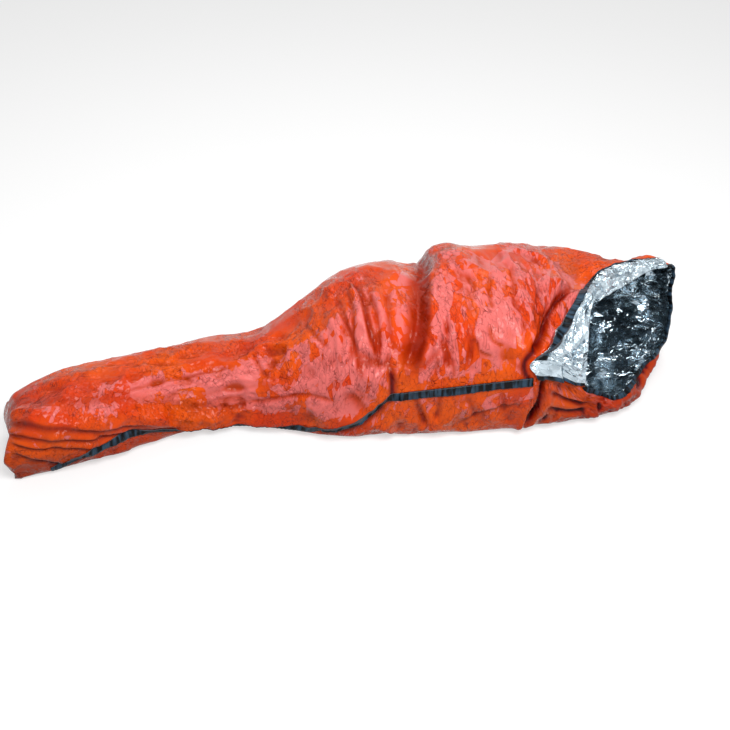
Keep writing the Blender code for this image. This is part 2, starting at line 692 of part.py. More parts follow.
def build_face_edge(grid):
    """The fixed facing round the top of the opening, and the loose flap at its near corner."""
    points, normals = turned_patch(grid)
    end = TURN_STEPS + TURNED_ROWS
    film, lining = (0.0, FILM), (FILM + GAP, FILM + GAP + LINING)
    tape = (lining[1] + GAP, lining[1] + GAP + TAPE)
    fold = turned_quads((TAPE_TOP, FACING_END), (0, TURN_STEPS))
    fixed = fold + turned_quads((FLAP_END, FACING_END), (TURN_STEPS, end))
    fixed_edge = turned_quads((FLAP_END, FACING_END), (end - 1, end))
    sheet("face_facing_film", "orange_film", points, normals, fixed, *film)
    sheet("face_facing_lining", "silver_film", points, normals, fixed, *lining)
    sheet("face_facing_tape", "black_tape", points, normals, fixed_edge, *tape)
    loose = turned_quads((TAPE_TOP, FLAP_END), (TURN_STEPS, end))
    loose_edge = turned_quads((TAPE_TOP, FLAP_END), (end - 1, end))
    loose_low = [quad for quad in turned_quads((TAPE_TOP, FLAP_END), (TURN_STEPS, end - 1))
                 if quad[0][0] == TAPE_TOP * TURNED_SPLIT]
    pivot = face_flap_hinge(points, normals)[0]
    for name, slot, quads, heights in (("face_flap_film", "orange_film", loose, film),
                                       ("face_flap_lining", "silver_film", loose, lining),
                                       ("face_flap_edge_tape", "black_tape", loose_edge, tape),
                                       ("face_flap_lower_tape", "black_tape", loose_low, tape)):
        sheet(name, slot, points, normals, quads, *heights, inset=FACE_FLAP_GAP, pivot=pivot)


def face_flap_hinge(points, normals):
    """The two ends of the line on which the face flap turns, on its silver side next to the rim."""
    lift = FILM + GAP + LINING
    ends = [(column * TURNED_SPLIT, TURN_STEPS) for column in (TAPE_TOP, FLAP_END)]
    return [points[end] + normals[end] * lift for end in ends]


def corded_columns():
    """Columns of the lower rim, from the end of the facing round to the near seam."""
    return range(FACING_END, COLUMNS + 1)


def sweep(name, slot, rings, cap):
    """Closed solid through a row of rings, each a list of (depth, point) with the same depths.

    Between two rings every face is split from the lesser depth to the greater, as the sheets are.
    The cap lists the quads that fill the first and the last ring.
    """
    form = bmesh.new()
    placed = [[(depth, form.verts.new(point)) for depth, point in ring] for ring in rings]
    for before, after in zip(placed, placed[1:]):
        for i, (depth, a) in enumerate(before):
            next_depth, b = before[(i + 1) % len(before)]
            c, d = after[(i + 1) % len(after)][1], after[i][1]
            split = ((a, b, c), (a, c, d)) if depth <= next_depth else ((a, b, d), (b, c, d))
            for face in split:
                form.faces.new(face)
    for ring in (placed[0], placed[-1]):
        for quad in cap:
            a, b, c, d = (ring[i][1] for i in quad)
            form.faces.new((a, b, c))
            form.faces.new((a, c, d))
    return finish(name, slot, form)


def build_corded_rim(grid):
    """Folded tape round the lower rim, and the stretch cord inside its channel."""
    layers = FILM + GAP + LINING
    middle = -0.5 * layers
    half = max(0.5 * layers + GAP, 0.5 * CORD_DIAMETER + CORD_CLEARANCE)
    thick = half + CHANNEL_WALL
    centre = GAP + CORD_CLEARANCE + 0.5 * CORD_DIAMETER
    channel = centre + 0.5 * CORD_DIAMETER + CORD_CLEARANCE
    binding, cord = [], []
    for column in corded_columns():
        rim, beyond, normal = rim_frame(grid, column)
        leg = grid.rows[RIM_ROW - 1][column % COLUMNS]
        leg_normal = grid.normals[RIM_ROW - 1][column % COLUMNS]
        outer = rim + beyond * (channel + CHANNEL_WALL)
        inner = rim + beyond * channel
        ring = [(0, leg + leg_normal * (middle + half)), (0, leg + leg_normal * (middle + thick)),
                (1, rim + normal * (middle + thick)), (3, outer + normal * (middle + thick)),
                (3, outer + normal * (middle - thick)), (1, rim + normal * (middle - thick)),
                (0, leg + leg_normal * (middle - thick)), (0, leg + leg_normal * (middle - half)),
                (1, rim + normal * (middle - half)), (2, inner + normal * (middle - half)),
                (2, inner + normal * (middle + half)), (1, rim + normal * (middle + half))]
        binding.append(ring)
        heart = rim + beyond * centre + normal * middle
        turns = [2 * math.pi * i / CORD_SIDES for i in range(CORD_SIDES)]
        cord.append([(0, heart + (beyond * math.cos(turn) + normal * math.sin(turn)) * 0.5 * CORD_DIAMETER)
                     for turn in turns])
    sweep("rim_binding", "black_tape", binding, CHANNEL_CAP)
    sweep("rim_stretch_cord", "stretch_cord", cord, CORD_CAP)


def build():
    clear_scene()
    grid = Grid()
    build_panels(grid)
    build_seam_tapes(grid)
    build_foot_tape(grid)
    build_side_closure(grid)
    build_face_edge(grid)
    build_corded_rim(grid)


build()
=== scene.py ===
"""Emergency bivvy bag: crumpled orange film, silver inside, lying filled out on a pale floor.

Every sheet is cut from one skin. The skin is a grid of rings round the bag, which is then folded and
crumpled. Layers, tapes and neighbours share its points, so they fit each other at every fold.
Lengths are in metres, and in millimetres in the tables that say so. Rows count from the foot seam to
the rim of the face opening, and columns count round the bag from the near seam over the top. Both may
be fractions.
"""
import itertools
import math

import bpy
import numpy as np
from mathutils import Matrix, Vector


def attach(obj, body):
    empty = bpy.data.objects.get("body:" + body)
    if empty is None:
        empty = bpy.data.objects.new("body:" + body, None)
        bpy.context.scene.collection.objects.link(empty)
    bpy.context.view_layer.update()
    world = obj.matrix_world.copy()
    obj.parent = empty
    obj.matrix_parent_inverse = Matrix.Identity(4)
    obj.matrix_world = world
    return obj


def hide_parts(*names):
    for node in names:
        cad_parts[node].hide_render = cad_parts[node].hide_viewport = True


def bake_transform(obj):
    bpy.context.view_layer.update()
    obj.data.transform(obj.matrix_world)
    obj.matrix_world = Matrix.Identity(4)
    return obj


# Layers
GAP = 0.0003
FILM = 0.0005
LINING = 0.0004
TAPE = 0.0009
TAPE_WIDTH = 0.025
SLIT_WIDTH = 0.010
LOOP_PILE = 0.0012
HOOK_PILE = 0.0010
FLAP_TAPE = 0.0012
FLAP_FLOAT = 0.0003
FOOT_TAPE_DROP = 0.0006
FLOOR_ROOM = 0.0018
LOWER_EDGE = 0.012

# Turned-back film: lift off the bag, puff, rise over the top, and rows in its turn and its edge tape
TURN_LIFT = 0.006
LAPEL_PUFF = 0.008
CUFF_RISE = 0.012
TURN_ROWS = 7
EDGE_TAPE_ROWS = 6

# Cord and its channel
CORD_DIAMETER = 0.0020
CORD_SIDES = 8
CHANNEL_HALF = 0.0022
CHANNEL_WALL = 0.0007
CHANNEL_LEG = 0.012

# Height and length of the waves that the stitches leave across each tape
SEAM_PUCKER = (0.0012, 0.013)
FLAP_PUCKER = (0.0016, 0.013)
LAPEL_PUCKER = (0.0016, 0.012)
RIM_PUCKER = (0.0010, 0.011)
NO_PUCKER = (0.0, 0.013)

# Rows and columns of the skin
FOOT_ROWS = 6
UNLINED_ROWS = 2
HOOD_ROWS = 8
HOOD_ROW_LENGTH = 0.075
SLIT_ROW = 19
SHOULDER = FOOT_ROWS + 18
RIM_ROW = SHOULDER + HOOD_ROWS
UPPER_COLUMNS = 16
LOWER_COLUMNS = 12
NEAR, SLIT_TOP, TAPE_TOP = 0, 1, 2
FAR_TAPE_TOP = TAPE_TOP + UPPER_COLUMNS
FAR = FAR_TAPE_TOP + 1
FAR_TAPE_LOW = FAR + 1
TAPE_LOW = FAR_TAPE_LOW + LOWER_COLUMNS
SLIT_LOW = TAPE_LOW + 1
COLUMNS = SLIT_LOW + 1
FACING_END = 16

# Spacing of the grid: wider along the bag, and twice as wide on the columns that face away
STEP = 0.0055
ROW_STEP = 1.15 * STEP
AWAY_COLUMNS = range(12, 28)

# Shape of the filled bag, as in the solids. Its tables are in millimetres.
MM = 1000
ARC_STEPS = 28
FULLNESS = 0.88
SEAM_START = np.array((0.080, -0.252, 0.176))
SEAM_END = np.array((0.470, -0.325, 0.220))
SHIFT = np.array((-0.0238, 0.0220, 0.0))
# Sections: x_base, x_top, near, far, crown, height, near_bulge, far_bulge, seam and base_in
LOWER_BODY = (
    (-962, -962, -160, 6, -60, 12, 6, 6, 6, 8),
    (-944, -960, -166, 12, -60, 27, 14, 14, 14, 14),
    (-938, -980, -178, 30, -60, 80, 45, 45, 30, 34),
    (-929, -972, -186, 48, -58, 144, 85, 70, 30, 46),
    (-906, -940, -190, 66, -54, 190, 115, 80, 24, 56),
    (-860, -870, -190, 82, -48, 210, 140, 85, 24, 62),
    (-780, -780, -180, 108, -30, 228, 145, 85, 62, 74),
    (-680, -680, -160, 132, -4, 226, 132, 80, 85, 78),
    (-580, -580, -128, 156, 20, 212, 108, 80, 72, 75),
    (-480, -480, -98, 184, 45, 200, 88, 80, 42, 78),
    (-380, -380, -96, 198, 50, 200, 85, 80, 30, 78),
    (-280, -280, -118, 196, 40, 218, 90, 85, 28, 78),
    (-180, -180, -160, 212, 30, 262, 105, 100, 34, 70),
    (-80, -80, -208, 250, 20, 328, 125, 115, 55, 64),
    (0, 0, -236, 276, 10, 368, 150, 130, 100, 64),
)
# Above the waist: x, far, crown, height, far_bulge and base_in. The seam runs straight there.
UPPER_BODY = (
    (80, 285, 0, 388, 140, 80),
    (110, 285, -3, 390, 142, 74),
    (190, 285, -10, 388, 145, 70),
    (260, 286, -15, 392, 150, 75),
    (360, 288, -15, 420, 150, 80),
    (470, 276, -20, 418, 150, 105),
)
# Rim of the face opening: share of the way round, place, and the way that the film arrives in
RIM = (
    (0.00, (646, -290, 140), (50, -10, -10)),
    (0.06, (642.4, -288.5, 213), (50, -10, 0)),
    (0.12, (638.8, -287, 286), (50, -10, 6)),
    (0.15, (652, -240, 330), (50, -20, 0)),
    (0.19, (683, -186, 360), (50, -50, -20)),
    (0.24, (757, -123, 344), (50, -90, -15)),
    (0.29, (821, -86, 336), (50, -110, -15)),
    (0.35, (893, -43, 332), (50, -110, -20)),
    (0.41, (955, -19, 325), (60, -110, -40)),
    (0.47, (1024, -8, 298), (70, -100, -30)),
    (0.50, (1022, -4, 250), (60, -120, 10)),
    (0.55, (1018, -10, 185), (30, -140, 60)),
    (0.61, (992, -52, 135), (0, -110, 70)),
    (0.68, (935, -108, 102), (-50, 5, 77)),
    (0.76, (875, -162, 84), (-80, 50, 80)),
    (0.84, (810, -224, 76), (-80, 50, 75)),
    (0.90, (750, -270, 80), (-30, 20, 75)),
    (0.95, (697, -284, 106), (20, 0, 55)),
    (0.99, (656, -289, 132), (20, -3, 50)),
)
# Outer edge of the turned-back film, in shares: way round, reach back over the hood, and move round
TURNED_EDGE = (
    (0.000, 0.930, -0.003),
    (0.030, 1.020, 0.004),
    (0.080, 0.786, -0.017),
    (0.120, 0.588, -0.012),
    (0.160, 0.333, -0.007),
    (0.190, 0.203, -0.001),
    (0.240, 0.260, 0.047),
    (0.290, 0.231, 0.043),
    (0.350, 0.150, 0.015),
    (0.410, 0.080, -0.005),
    (0.460, 0.030, 0.000),
)
# Share of the edge tape's width that shows, by the share of the way round: it rolls under over the top
EDGE_TAPE_SHOWN = ((0.10, 0.18, 0.25), (1.25, 0.80, 0.24))
# Columns of the face flap's corner that the edge tape leaves bare
LOBE = 1.0

# Height across each kind of fold, in its own widths and heights, from its foot side or its lower side
FOLD_FORMS = {
    "valley": ((-2.2, 0.0), (-1.2, 0.16), (-0.75, 0.0), (0.0, -1.0), (0.75, 0.0), (1.2, 0.16), (2.2, 0.0)),
    "ridge": ((-2.0, 0.0), (-1.0, 0.22), (0.0, 1.0), (1.0, 0.22), (2.0, 0.0)),
    "step": ((-3.0, 0.0), (-1.6, 0.04), (-0.25, -0.34), (0.0, -0.52), (0.8, 0.38), (1.15, 0.5), (2.0, 0.34),
             (3.4, 0.0)),
    "pleat": ((-2.4, 0.0), (-0.9, 0.40), (-0.12, 0.52), (0.22, -0.50), (0.9, -0.22), (2.0, 0.0)),
}
# Share of painted shade across each kind of fold
FOLD_PAINTED_SHADES = {
    "valley": ((-0.75, 0.0), (-0.15, 1.0), (0.15, 1.0), (0.75, 0.0)),
    "ridge": ((0.4, 0.0), (1.2, 0.35), (2.0, 0.0)),
    "step": ((-0.9, 0.0), (-0.25, 0.6), (0.55, 0.7), (0.85, 0.0)),
    "pleat": ((-0.1, 0.0), (0.08, 1.0), (0.3, 0.9), (0.8, 0.0)),
}
# Folds pressed in: kind, height and width in millimetres, and the row and column of each point on it
FOLDS = (
    # waist
    ("step", 52, 46, (21.6, 17.6, 21.5, 15.5, 21.3, 13.4, 21.0, 11.1, 20.6, 9.5, 20.3, 7.8, 20.0, 6.2,
        19.7, 4.9, 19.3, 3.7, 18.9, 2.6)),
    # long folds left of the waist
    ("pleat", 17, 30, (18.0, 10.6, 18.1, 8.9, 18.05, 6.4, 18.2, 4.4)),
    ("pleat", 12, 24, (17.1, 10.4, 17.2, 8.8, 17.4, 6.1, 17.55, 4.2)),
    ("ridge", 7, 20, (18.9, 9.6, 18.75, 7.6, 18.65, 5.0)),
    ("valley", 8, 16, (19.3, 9.0, 19.0, 7.0, 18.8, 4.8)),
    # overhang at the waist's near side
    ("pleat", 30, 36, (18.55, 4.0, 18.6, 2.6, 18.55, 1.0, 18.3, 33.0)),
    ("pleat", 26, 34, (18.6, 33.0, 17.8, 32.6, 16.8, 32.6, 15.6, 33.4)),
    # fan of small folds that run together at the waist's near side
    ("valley", 8, 13, (20.1, 5.2, 19.6, 4.0, 19.1, 3.1)),
    ("valley", 7, 12, (20.5, 4.3, 19.9, 3.5, 19.3, 2.9)),
    ("ridge", 7, 13, (20.3, 4.8, 19.8, 3.8, 19.2, 3.0)),
    ("valley", 7, 13, (21.0, 5.6, 20.8, 4.4, 20.7, 3.2)),
    ("valley", 6, 13, (21.9, 5.4, 21.7, 4.2, 21.6, 3.0)),
    # creases on the torso, hip and legs
    ("valley", 8, 12, (23.2, 8.6, 22.9, 6.9, 22.8, 5.9)),
    ("valley", 8, 12, (24.4, 9.4, 24.0, 7.7, 23.7, 6.2, 24.0, 5.4)),
    ("pleat", 11, 14, (22.6, 3.5, 22.1, 3.9, 22.0, 4.4, 21.7, 4.7)),
    ("valley", 7, 11, (22.5, 5.1, 22.6, 4.3, 23.0, 3.9)),
    ("valley", 9, 13, (27.1, 7.1, 26.3, 6.0, 24.9, 5.7)),
    ("valley", 7, 10, (20.5, 4.4, 20.4, 3.6, 20.3, 2.7)),
    ("valley", 7, 10, (21.0, 3.8, 21.0, 3.2, 21.0, 2.5)),
    ("valley", 7, 11, (22.8, 3.5, 23.4, 2.8, 23.7, 2.1)),
    ("valley", 10, 12, (17.7, 10.4, 17.7, 8.4, 17.5, 6.9, 17.2, 5.4)),
    ("valley", 10, 12, (18.5, 10.0, 18.5, 7.3, 18.4, 5.5, 18.2, 4.0)),
    ("ridge", 6, 14, (16.6, 9.6, 16.9, 7.8, 16.8, 6.2)),
    ("valley", 7, 12, (15.6, 10.2, 16.0, 8.3, 16.5, 7.0)),
    ("valley", 7, 12, (13.3, 9.8, 13.6, 7.2, 14.2, 6.0)),
    ("valley", 6, 12, (8.0, 6.4, 9.7, 7.5, 11.2, 8.0, 13.0, 8.6)),
    ("ridge", 6, 14, (10.7, 4.6, 12.3, 5.5, 13.8, 5.5)),
    ("valley", 7, 12, (12.6, 4.4, 15.0, 4.8, 16.7, 3.7)),
    # over the near tape at the legs
    ("pleat", 24, 26, (15.6, 1.9, 13.4, 1.7, 11.2, 1.4, 9.6, 1.2, 8.2, 1.0)),
    # foot
    ("ridge", 16, 34, (3.2, 11.4, 4.2, 9.6, 5.0, 8.3, 6.8, 5.6, 9.1, 3.8, 11.2, 3.0, 13.5, 2.6)),
    ("pleat", 15, 22, (9.6, 2.6, 8.1, 3.2, 7.0, 4.1, 5.9, 5.8, 4.5, 7.9, 3.4, 9.2)),
    ("pleat", 15, 21, (8.8, 1.9, 7.8, 2.4, 6.6, 3.6, 5.0, 6.1, 3.9, 7.2, 3.0, 8.4)),
    ("pleat", 14, 20, (7.9, 1.2, 6.9, 2.1, 6.0, 3.5, 5.3, 4.7, 4.2, 5.8, 3.2, 7.0)),
    ("pleat", 13, 19, (6.8, 33.4, 6.1, 0.0, 5.2, 2.9, 4.1, 4.5, 3.2, 5.6)),
    ("valley", 9, 16, (10.9, 2.6, 9.0, 1.8, 7.4, 2.6, 6.6, 4.8)),
    # along the lapel's outer edge, and the pocket round its corner
    ("valley", 19, 20, (29.2, 9.6, 28.8, 8.0, 27.8, 7.0, 26.7, 5.9, 25.9, 4.8, 24.7, 3.8, 23.7, 3.2)),
    ("valley", 24, 20, (25.2, 4.5, 24.3, 3.7, 23.7, 3.1, 23.7, 2.3, 24.1, 1.4)),
    ("ridge", 12, 26, (29.6, 9.2, 28.2, 8.4, 26.6, 7.6)),
    # near wall under the side flap
    ("pleat", 10, 22, (23.8, 31.1, 22.9, 31.0, 22.1, 30.8, 21.2, 30.2)),
    ("ridge", 10, 18, (20.8, 30.2, 21.2, 31.0, 22.2, 31.6)),
    ("valley", 10, 15, (21.5, 31.9, 21.8, 31.1, 22.0, 30.3)),
    ("valley", 10, 15, (22.8, 31.9, 23.0, 31.2, 23.1, 30.5)),
    ("valley", 14, 18, (19.5, 32.4, 19.8, 31.2, 20.1, 30.1)),
    ("valley", 10, 14, (20.5, 32.2, 20.5, 31.4, 20.4, 30.5)),
    # hood side
    ("valley", 34, 24, (24.6, 1.6, 24.9, 0.4, 25.0, 33.0, 24.9, 31.2, 24.4, 30.2, 24.0, 29.2)),
    ("ridge", 12, 24, (24.2, 0.9, 24.3, 33.4, 24.2, 32.2)),
    ("valley", 9, 16, (26.0, 33.4, 27.6, 33.0, 29.4, 32.4)),
    ("ridge", 9, 18, (25.8, 0.3, 27.4, 33.8, 29.6, 33.2)),
    ("pleat", 18, 24, (29.6, 30.9, 28.4, 31.4, 27.1, 31.6, 25.6, 32.0)),
    ("valley", 13, 18, (28.6, 30.4, 27.4, 30.3, 26.4, 30.4, 25.3, 30.8)),
    ("ridge", 10, 18, (31.6, 27.4, 30.9, 28.7, 30.3, 29.9)),
)
# Broad dents: (row, column), and radius and height in millimetres
DENTS = (
    ((3.0, 11.5), 100, -30),
    ((7.5, 11.5), 160, -10),
    ((14.8, 12.5), 170, -18),
    ((21.9, 12.5), 100, -26),
    ((14.0, 15.0), 100, -10),
    ((17.0, 14.6), 110, -16),
    ((28.9, 15.4), 90, -22),
    ((28.4, 11.0), 130, -34),
    ((30.4, 11.0), 100, -14),
)

# Points along each fold, the height that gives it its full painted shade, and the most painted shade of a
# higher one
FOLD_STEPS = 60
FULL_SHADE_FOLD_HEIGHT = 0.017
DARKEST_FOLD_SHADE = 1.3

# Facets of the film: spacing, tilt, dish, most height in spacings, how far they stretch along and round
# the bag at the legs and at the torso, and the share of them outside the crumpled patches
FACETS = (
    (0.110, 0.22, 0.5, 0.13, (1.4, 0.75), (0.75, 1.3), 1.0),
    (0.060, 0.30, 0.6, 0.16, (1.3, 0.8), (0.60, 1.5), 0.45),
    (0.034, 0.34, 0.8, 0.18, (1.2, 0.8), (0.65, 1.5), 0.04),
)
# Small crumples of the body and of the turned-back film: size, depth in sizes, and number
BODY_CRUMPLES = ((0.034, 0.16, 1), (0.019, 0.10, 2))
LAPEL_CRUMPLES = ((0.045, 0.14, 1), (0.022, 0.10, 2))
CRUMPLE_TILT = 0.9
# How far warped places move, and how large the warp's own patches are
WARP, WARP_SIZE = 0.012, 0.06
# In spacings: how near facets may be, how far one reaches, where its edge rises, how steeply, and its drop
NEAREST_FACET, FACET_REACH, FACET_EDGE, FACET_RISE, FACET_DROP = 0.62, 2.1, 0.75, 2.5, 0.022

# Parts of the bag in rows or columns: start, end, and how far in from each the change is complete
LEG_ROWS = (7.0, 19.0, 2.0, 1.5)
SLIT_ROWS = (18.3, 24.7, 0.6, 0.5)
FAR_CREST = (10.5, 17.0, 2.0, 2.0)
FAR_SIDE = (14.0, 20.0, 2.0, 2.0)

# Large whole numbers that mix a cell's place, and then mix it again, into noise
CELL_MIX = (73856093, 19349663, 83492791)
SEED_MIX = 2654435761
STIRS = (2246822519, 374761393, 3266489917)
LOW_BITS = 0xFFFFFFFF
NUMBER_BITS = 0x1000000

# Picture: its side and the shift of its middle in pixels, and how much of the bag one pixel shows
PICTURE = 730
MIDDLE = (24, -8)
PIXEL = 0.00292
CAMERA_TURN, CAMERA_RISE = math.radians(-13), math.radians(36)
CAMERA_DISTANCE = 4.0
SENSOR = 36.0


def curve_at(knots, values, at):
    """Smooth curve through values that stand at rising knots."""
    last = len(knots) - 1
    index = 0
    while index < last - 1 and at > knots[index + 1]:
        index += 1
    span = knots[index + 1] - knots[index]
    share = min(1.0, max(0.0, (at - knots[index]) / span))

    def slope(i):
        low, high = max(0, i - 1), min(last, i + 1)
        return (values[high] - values[low]) / (knots[high] - knots[low])

    start, end = slope(index) * span, slope(index + 1) * span
    square, cube = share ** 2, share ** 3
    return (values[index] * (2 * cube - 3 * square + 1) + start * (cube - 2 * square + share)
            + values[index + 1] * (3 * square - 2 * cube) + end * (cube - square))


def stations():
    """Measures of the body's sections, from the foot to the shoulder."""
    found = [np.array(row) / MM for row in LOWER_BODY]
    for row in UPPER_BODY:
        x, far, crown, height, far_bulge, base_in = np.array(row) / MM
        seam = SEAM_START + (SEAM_END - SEAM_START) * (x - SEAM_START[0]) / (SEAM_END[0] - SEAM_START[0])
        found.append(np.array((x, x, seam[1], far, crown, height, seam[2], far_bulge, seam[2], base_in)))
    return found


def size_of(vectors, **how):
    return np.linalg.norm(vectors, axis=-1, **how)


def unit(vectors):
    return vectors / np.maximum(size_of(vectors, keepdims=True), 1e-12)


def smooth(share):
    share = np.clip(share, 0.0, 1.0)
    return share * share * (3 - 2 * share)


def rising(value, start, span):
    """0 up to the start, 1 from a span past it, and smooth between."""
    return smooth((value - start) / span)


def within(value, start, end, fade_in, fade_out):
    """0 outside start and end, 1 well inside them, and smooth between."""
    return rising(value, start, fade_in) * smooth((end - value) / fade_out)


def run_along(points):
    """Length from the start to each point of a line, or to each row of a grid on average."""
    steps = size_of(np.diff(points, axis=0))
    return np.concatenate([[0.0], np.cumsum(steps.mean(axis=1) if points.ndim == 3 else steps)])


class Ring:
    """One ring round the filled bag, measured by its length from the near seam."""

    def __init__(self, station):
        x_base, x_top, near, far, crown, height, near_bulge, far_bulge, seam, base_in = station
        angle = np.linspace(0, 0.5 * math.pi, ARC_STEPS + 1)
        cosine = np.maximum(np.cos(angle), 0) ** FULLNESS
        sine = np.maximum(np.sin(angle), 0) ** FULLNESS
        up, down = slice(0, ARC_STEPS), slice(ARC_STEPS, 0, -1)
        level = np.arange(ARC_STEPS) / ARC_STEPS
        y = np.concatenate([
            crown + (near - crown) * cosine[up],
            crown + (far - crown) * cosine[down],
            far - base_in + base_in * cosine[up],
            far - base_in - (far - near - 2 * base_in) * level,
            near + base_in - base_in * cosine[down]])
        z = np.concatenate([
            near_bulge + (height - near_bulge) * sine[up],
            far_bulge + (height - far_bulge) * sine[down],
            far_bulge * (1 - sine[up]),
            np.zeros(ARC_STEPS),
            near_bulge * (1 - sine[down])])
        self.x_base, self.lean, self.height = x_base, x_top - x_base, height
        self.y, self.z = np.append(y, y[0]), np.append(z, z[0])
        self.lengths = np.concatenate([[0.0], np.cumsum(np.hypot(np.diff(self.y), np.diff(self.z)))])
        self.around = self.lengths[-1]
        self.near_seam = self.seam_length(seam)
        self.upper = (self.lengths[2 * ARC_STEPS] - self.near_seam) % self.around

    def seam_length(self, seam):
        """Length at which the near wall passes the seam's height."""
        for i in range(len(self.z) - 2, 0, -1):
            if self.z[i] <= seam <= self.z[i + 1]:
                share = (seam - self.z[i]) / (self.z[i + 1] - self.z[i])
                return (self.lengths[i] + share * (self.lengths[i + 1] - self.lengths[i])) % self.around
        return 0.0

    def column_lengths(self):
        tape = min(0.5 * TAPE_WIDTH, 0.25 * self.upper)
        slit = tape * SLIT_WIDTH / TAPE_WIDTH
        over = self.upper - 2 * tape
        under = self.around - self.upper - 2 * tape
        return np.concatenate([
            [0.0, slit],
            tape + over * np.arange(UPPER_COLUMNS + 1) / UPPER_COLUMNS,
            [self.upper],
            self.upper + tape + under * np.arange(LOWER_COLUMNS + 1) / LOWER_COLUMNS,
            [self.around - slit, self.around]])

    def points(self, columns):
        at = np.interp(columns, np.arange(COLUMNS + 1), self.column_lengths())
        at = (self.near_seam + at) % self.around
        y, z = np.interp(at, self.lengths, self.y), np.interp(at, self.lengths, self.z)
        x = self.x_base + z / self.height * self.lean
        return np.stack([x, y, z], axis=1) + SHIFT


def rim_at(share, field):
    """The rim's place, or the way that the film arrives there, at a share of the way round."""
    turns = range(-1, 2)
    knots = [point[0] + turn for turn in turns for point in RIM]
    return curve_at(knots, [np.array(point[field]) / MM for _ in turns for point in RIM], share % 1.0)


class Skin:
    """The bag's outer surface as a grid of points, and how far it is folded out or in at each of them."""

    def __init__(self):
        self.lay_out_rows_and_columns()
        self.place_rings()
        self.place_hood()
        forward = np.gradient(self.base, axis=0)
        across = np.roll(self.base, -1, axis=1) - np.roll(self.base, 1, axis=1)
        self.normal = unit(np.cross(forward, across))
        self.lengthwise = unit(forward)
        self.along = run_along(self.base)
        self.height = np.zeros(self.base.shape[:2])

    def lay_out_rows_and_columns(self):
        found = stations()
        knots = [0.0]
        for before, after in zip(found, found[1:]):
            knots.append(knots[-1] + math.hypot(after[1] - before[1], after[5] - before[5]))
        self.stations, self.knots = found, knots
        body_rows = SHOULDER - FOOT_ROWS + 1
        foot = knots[FOOT_ROWS - 1]
        step = (knots[-1] - foot) / body_rows
        self.distances = knots[:FOOT_ROWS] + [foot + step * (i + 1) for i in range(body_rows)]
        rows = []
        for row in range(RIM_ROW):
            length = HOOD_ROW_LENGTH
            if row < SHOULDER:
                length = self.distances[row + 1] - self.distances[row]
            elif row == RIM_ROW - 1:
                length = CHANNEL_LEG
            pieces = max(1, round(length / ROW_STEP))
            rows += [row + i / pieces for i in range(pieces)]
        self.rows = np.array(rows + [RIM_ROW])
        shoulder = Ring(self.station_at(self.distances[SHOULDER]))
        self.shoulder_lengths = shoulder.column_lengths()
        self.shoulder_around = shoulder.around
        columns = []
        for column, length in enumerate(np.diff(self.shoulder_lengths)):
            pieces = max(2, round(length / (2 * STEP if column in AWAY_COLUMNS else STEP)))
            columns += [column + i / pieces for i in range(pieces)]
        self.columns = np.array(columns)
        lengths = np.interp(self.columns, np.arange(COLUMNS + 1), self.shoulder_lengths)
        self.shares = lengths / shoulder.around

    def station_at(self, distance):
        return [curve_at(self.knots, measures, distance) for measures in zip(*self.stations)]

    def place_rings(self):
        body = self.rows[self.rows <= SHOULDER]
        distances = np.interp(body, np.arange(SHOULDER + 1), self.distances)
        self.base = np.stack([Ring(self.station_at(d)).points(self.columns) for d in distances])

    def place_hood(self):
        start = self.base[-1]
        end = np.stack([rim_at(share, 1) for share in self.shares]) + SHIFT
        arrive = np.stack([rim_at(share, 2) for share in self.shares])
        length = size_of(end - start, keepdims=True)
        first = start + np.array((1.0, 0.0, 0.0)) * length / 3.0
        second = end - arrive
        second[:, 2] = np.maximum(second[:, 2], 0.0)
        self.leg = CHANNEL_LEG / length[:, 0]
        rows = []
        for row in self.rows[self.rows > SHOULDER]:
            before_leg = (1 - self.leg) * (row - SHOULDER) / (HOOD_ROWS - 1)
            in_leg = 1 - self.leg * (RIM_ROW - row)
            t = np.where(row <= RIM_ROW - 1, before_leg, in_leg)[:, None]
            back = 1 - t
            rows.append(start * back ** 3 + first * (3 * back ** 2 * t)
                        + second * (3 * back * t ** 2) + end * t ** 3)
        self.base = np.concatenate([self.base, np.stack(rows)])

    @property
    def point(self):
        placed = self.base + self.normal * self.height[:, :, None]
        placed[:, :, 2] = np.maximum(placed[:, :, 2], FLOOR_ROOM)
        return placed

    def sample(self, field, rows, columns):
        """Values of a grid field at any rows and columns, which wrap round."""
        r = np.interp(rows, self.rows, np.arange(len(self.rows)))
        knots = np.append(self.columns, COLUMNS)
        c = np.interp(np.mod(columns, COLUMNS), knots, np.arange(len(knots)))
        r0, c0 = np.minimum(r.astype(int), len(self.rows) - 2), c.astype(int) % len(self.columns)
        c1 = (c0 + 1) % len(self.columns)
        shape = r.shape + (1,) * (field.ndim - 2)
        u, v = (r - r0).reshape(shape), (c - c.astype(int)).reshape(shape)
        return ((field[r0, c0] * (1 - u) + field[r0 + 1, c0] * u) * (1 - v)
                + (field[r0, c1] * (1 - u) + field[r0 + 1, c1] * u) * v)

    def row_slice(self, low, high):
        return np.where((self.rows >= low - 1e-9) & (self.rows <= high + 1e-9))[0]

    def column_slice(self, low, high):
        """Column numbers of the grid from low to high, which may pass the near seam."""
        all_columns = np.concatenate([self.columns, self.columns + COLUMNS])
        found = np.where((all_columns >= low - 1e-9) & (all_columns <= high + 1e-9))[0]
        return found % len(self.columns), all_columns[found]


